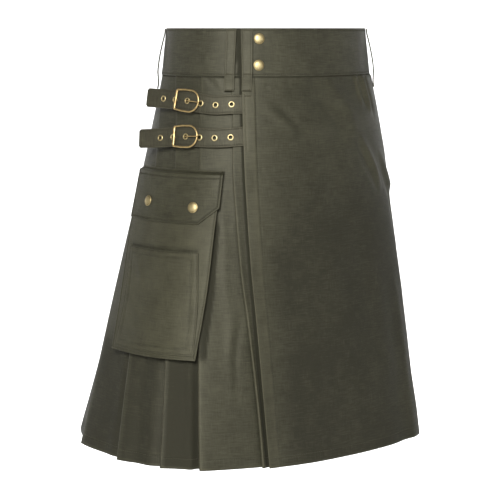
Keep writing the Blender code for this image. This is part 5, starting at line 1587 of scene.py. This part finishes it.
band_seams = []
band_face = BAND_CLOTH / 2 - 0.2
for level in BAND_STITCHES:
    edge, joint = curve(FOLDS, 1, level), curve(FOLDS, 2, level)
    arc = np.linspace(-edge + 3, joint - 2, 130)
    band_seams.append(body_seam(arc, band_front_stand(arc) + band_face, level))
    arc = np.linspace(joint + 2 - BODY.half(level, -1) - BODY.half(level, 1), -147, 300)
    band_seams.append(body_seam(arc, BAND_STAND + band_face, level))
down = np.linspace(4, BAND_DEPTH - 4, 40)
band_seams.append(body_seam(3.0 - curve(FOLDS, 1, down), band_front_stand(-122) + band_face, down))
LOOP_TACK_ROWS = (2, 46, 62)
for line, out, across in loop_lines:
    outer = line + out * (LOOP_CLOTH / 2 - 0.1 * MM)
    for way in (-1, 1):
        band_seams.append(seam(outer + across * way * (LOOP_WIDTH / 2 - LOOP_STITCH), out))
    for row in LOOP_TACK_ROWS:
        tack = line[row] + out[row] * LOOP_CLOTH / 2 + across[row] * np.linspace(-5.6, 5.6, 12)[:, None] * MM
        band_seams.append(seam(tack, np.tile(out[row], (12, 1)), step=0.7, crosswise=True))
for name, path in STRAPS.items():
    lengths = np.linspace(2 * MM, path.length - 4 * MM, 160)
    here, out, along, up = path.axes(lengths)
    outer = here + out * (strap_ripple(name, lengths) + STRAP_CLOTH / 2 * MM - 0.1 * MM)[:, None]
    for way in (-1, 1):
        band_seams.append(seam(outer + up * way * (STRAP_WIDTH / 2 - STRAP_STITCH), out))
    end = outer[-1] + up[-1] * np.linspace(-9.5, 9.5, 14)[:, None] * MM
    band_seams.append(seam(end, np.tile(out[-1], (14, 1))))
sew("thread_band", band_seams)


def pocket_seam(table, relief, face_at, inward, top_line=False):
    """Seam round the lip of a pocket, at one distance in from its side and bottom edges."""
    top, bottom = table[0, 0], table[-1, 0]
    down = np.linspace(top + 3, bottom - inward, 120)
    across = np.linspace(curve(table, 1, bottom) + inward, curve(table, 2, bottom) - inward, 90)
    arc = np.concatenate([curve(table, 1, down) + inward, across, (curve(table, 2, down) - inward)[::-1]])
    down = np.concatenate([down, across * 0 + bottom - inward, down[::-1]])
    if top_line:
        across = np.linspace(curve(table, 1, top) + inward, curve(table, 2, top) - inward, 90)
        arc, down = np.concatenate([across[::-1], arc]), np.concatenate([across * 0 + top + 2.0, down])
    edge = np.minimum(np.minimum(arc - curve(table, 1, down), curve(table, 2, down) - arc), bottom - down)
    return body_seam(-arc, face_at(down) + relief(arc, down, edge), down)


def flap_seam(corners):
    across, fall = dense(corners)
    down = FLAP_TOP + fall
    arc = FLAP_ARCS[0] + FLAP_GROW * fall + across
    rise = 0.1 * flap_relief(arc, down) - 0.12
    return body_seam(-arc, flap_stand(down) + PATCH_CLOTH / 2 + rise, down)


# Inside the flap's free edges and round its clipped corner
FLAP_CORNERS = [(3, 12), (3, 49.2), (25.8, 70.5), (FLAP_WIDTH - 3, 70.5), (FLAP_WIDTH - 3, 12)]
sew("thread_pocket", [
    pocket_seam(POCKET, pocket_relief, pocket_face, POCKET_STITCH),
    pocket_seam(PATCH, patch_relief, patch_face, PATCH_STITCHES[0], True),
    pocket_seam(PATCH, patch_relief, patch_face, PATCH_STITCHES[1]),
    *(flap_seam([(2, level), (FLAP_WIDTH - 2, level)]) for level in FLAP_STITCHES),
    flap_seam(FLAP_CORNERS),
])

# %% [markdown]
# The last lines go through the belt loops with their bands, and change nothing.

# %% The last loop
for loop, band in loops:
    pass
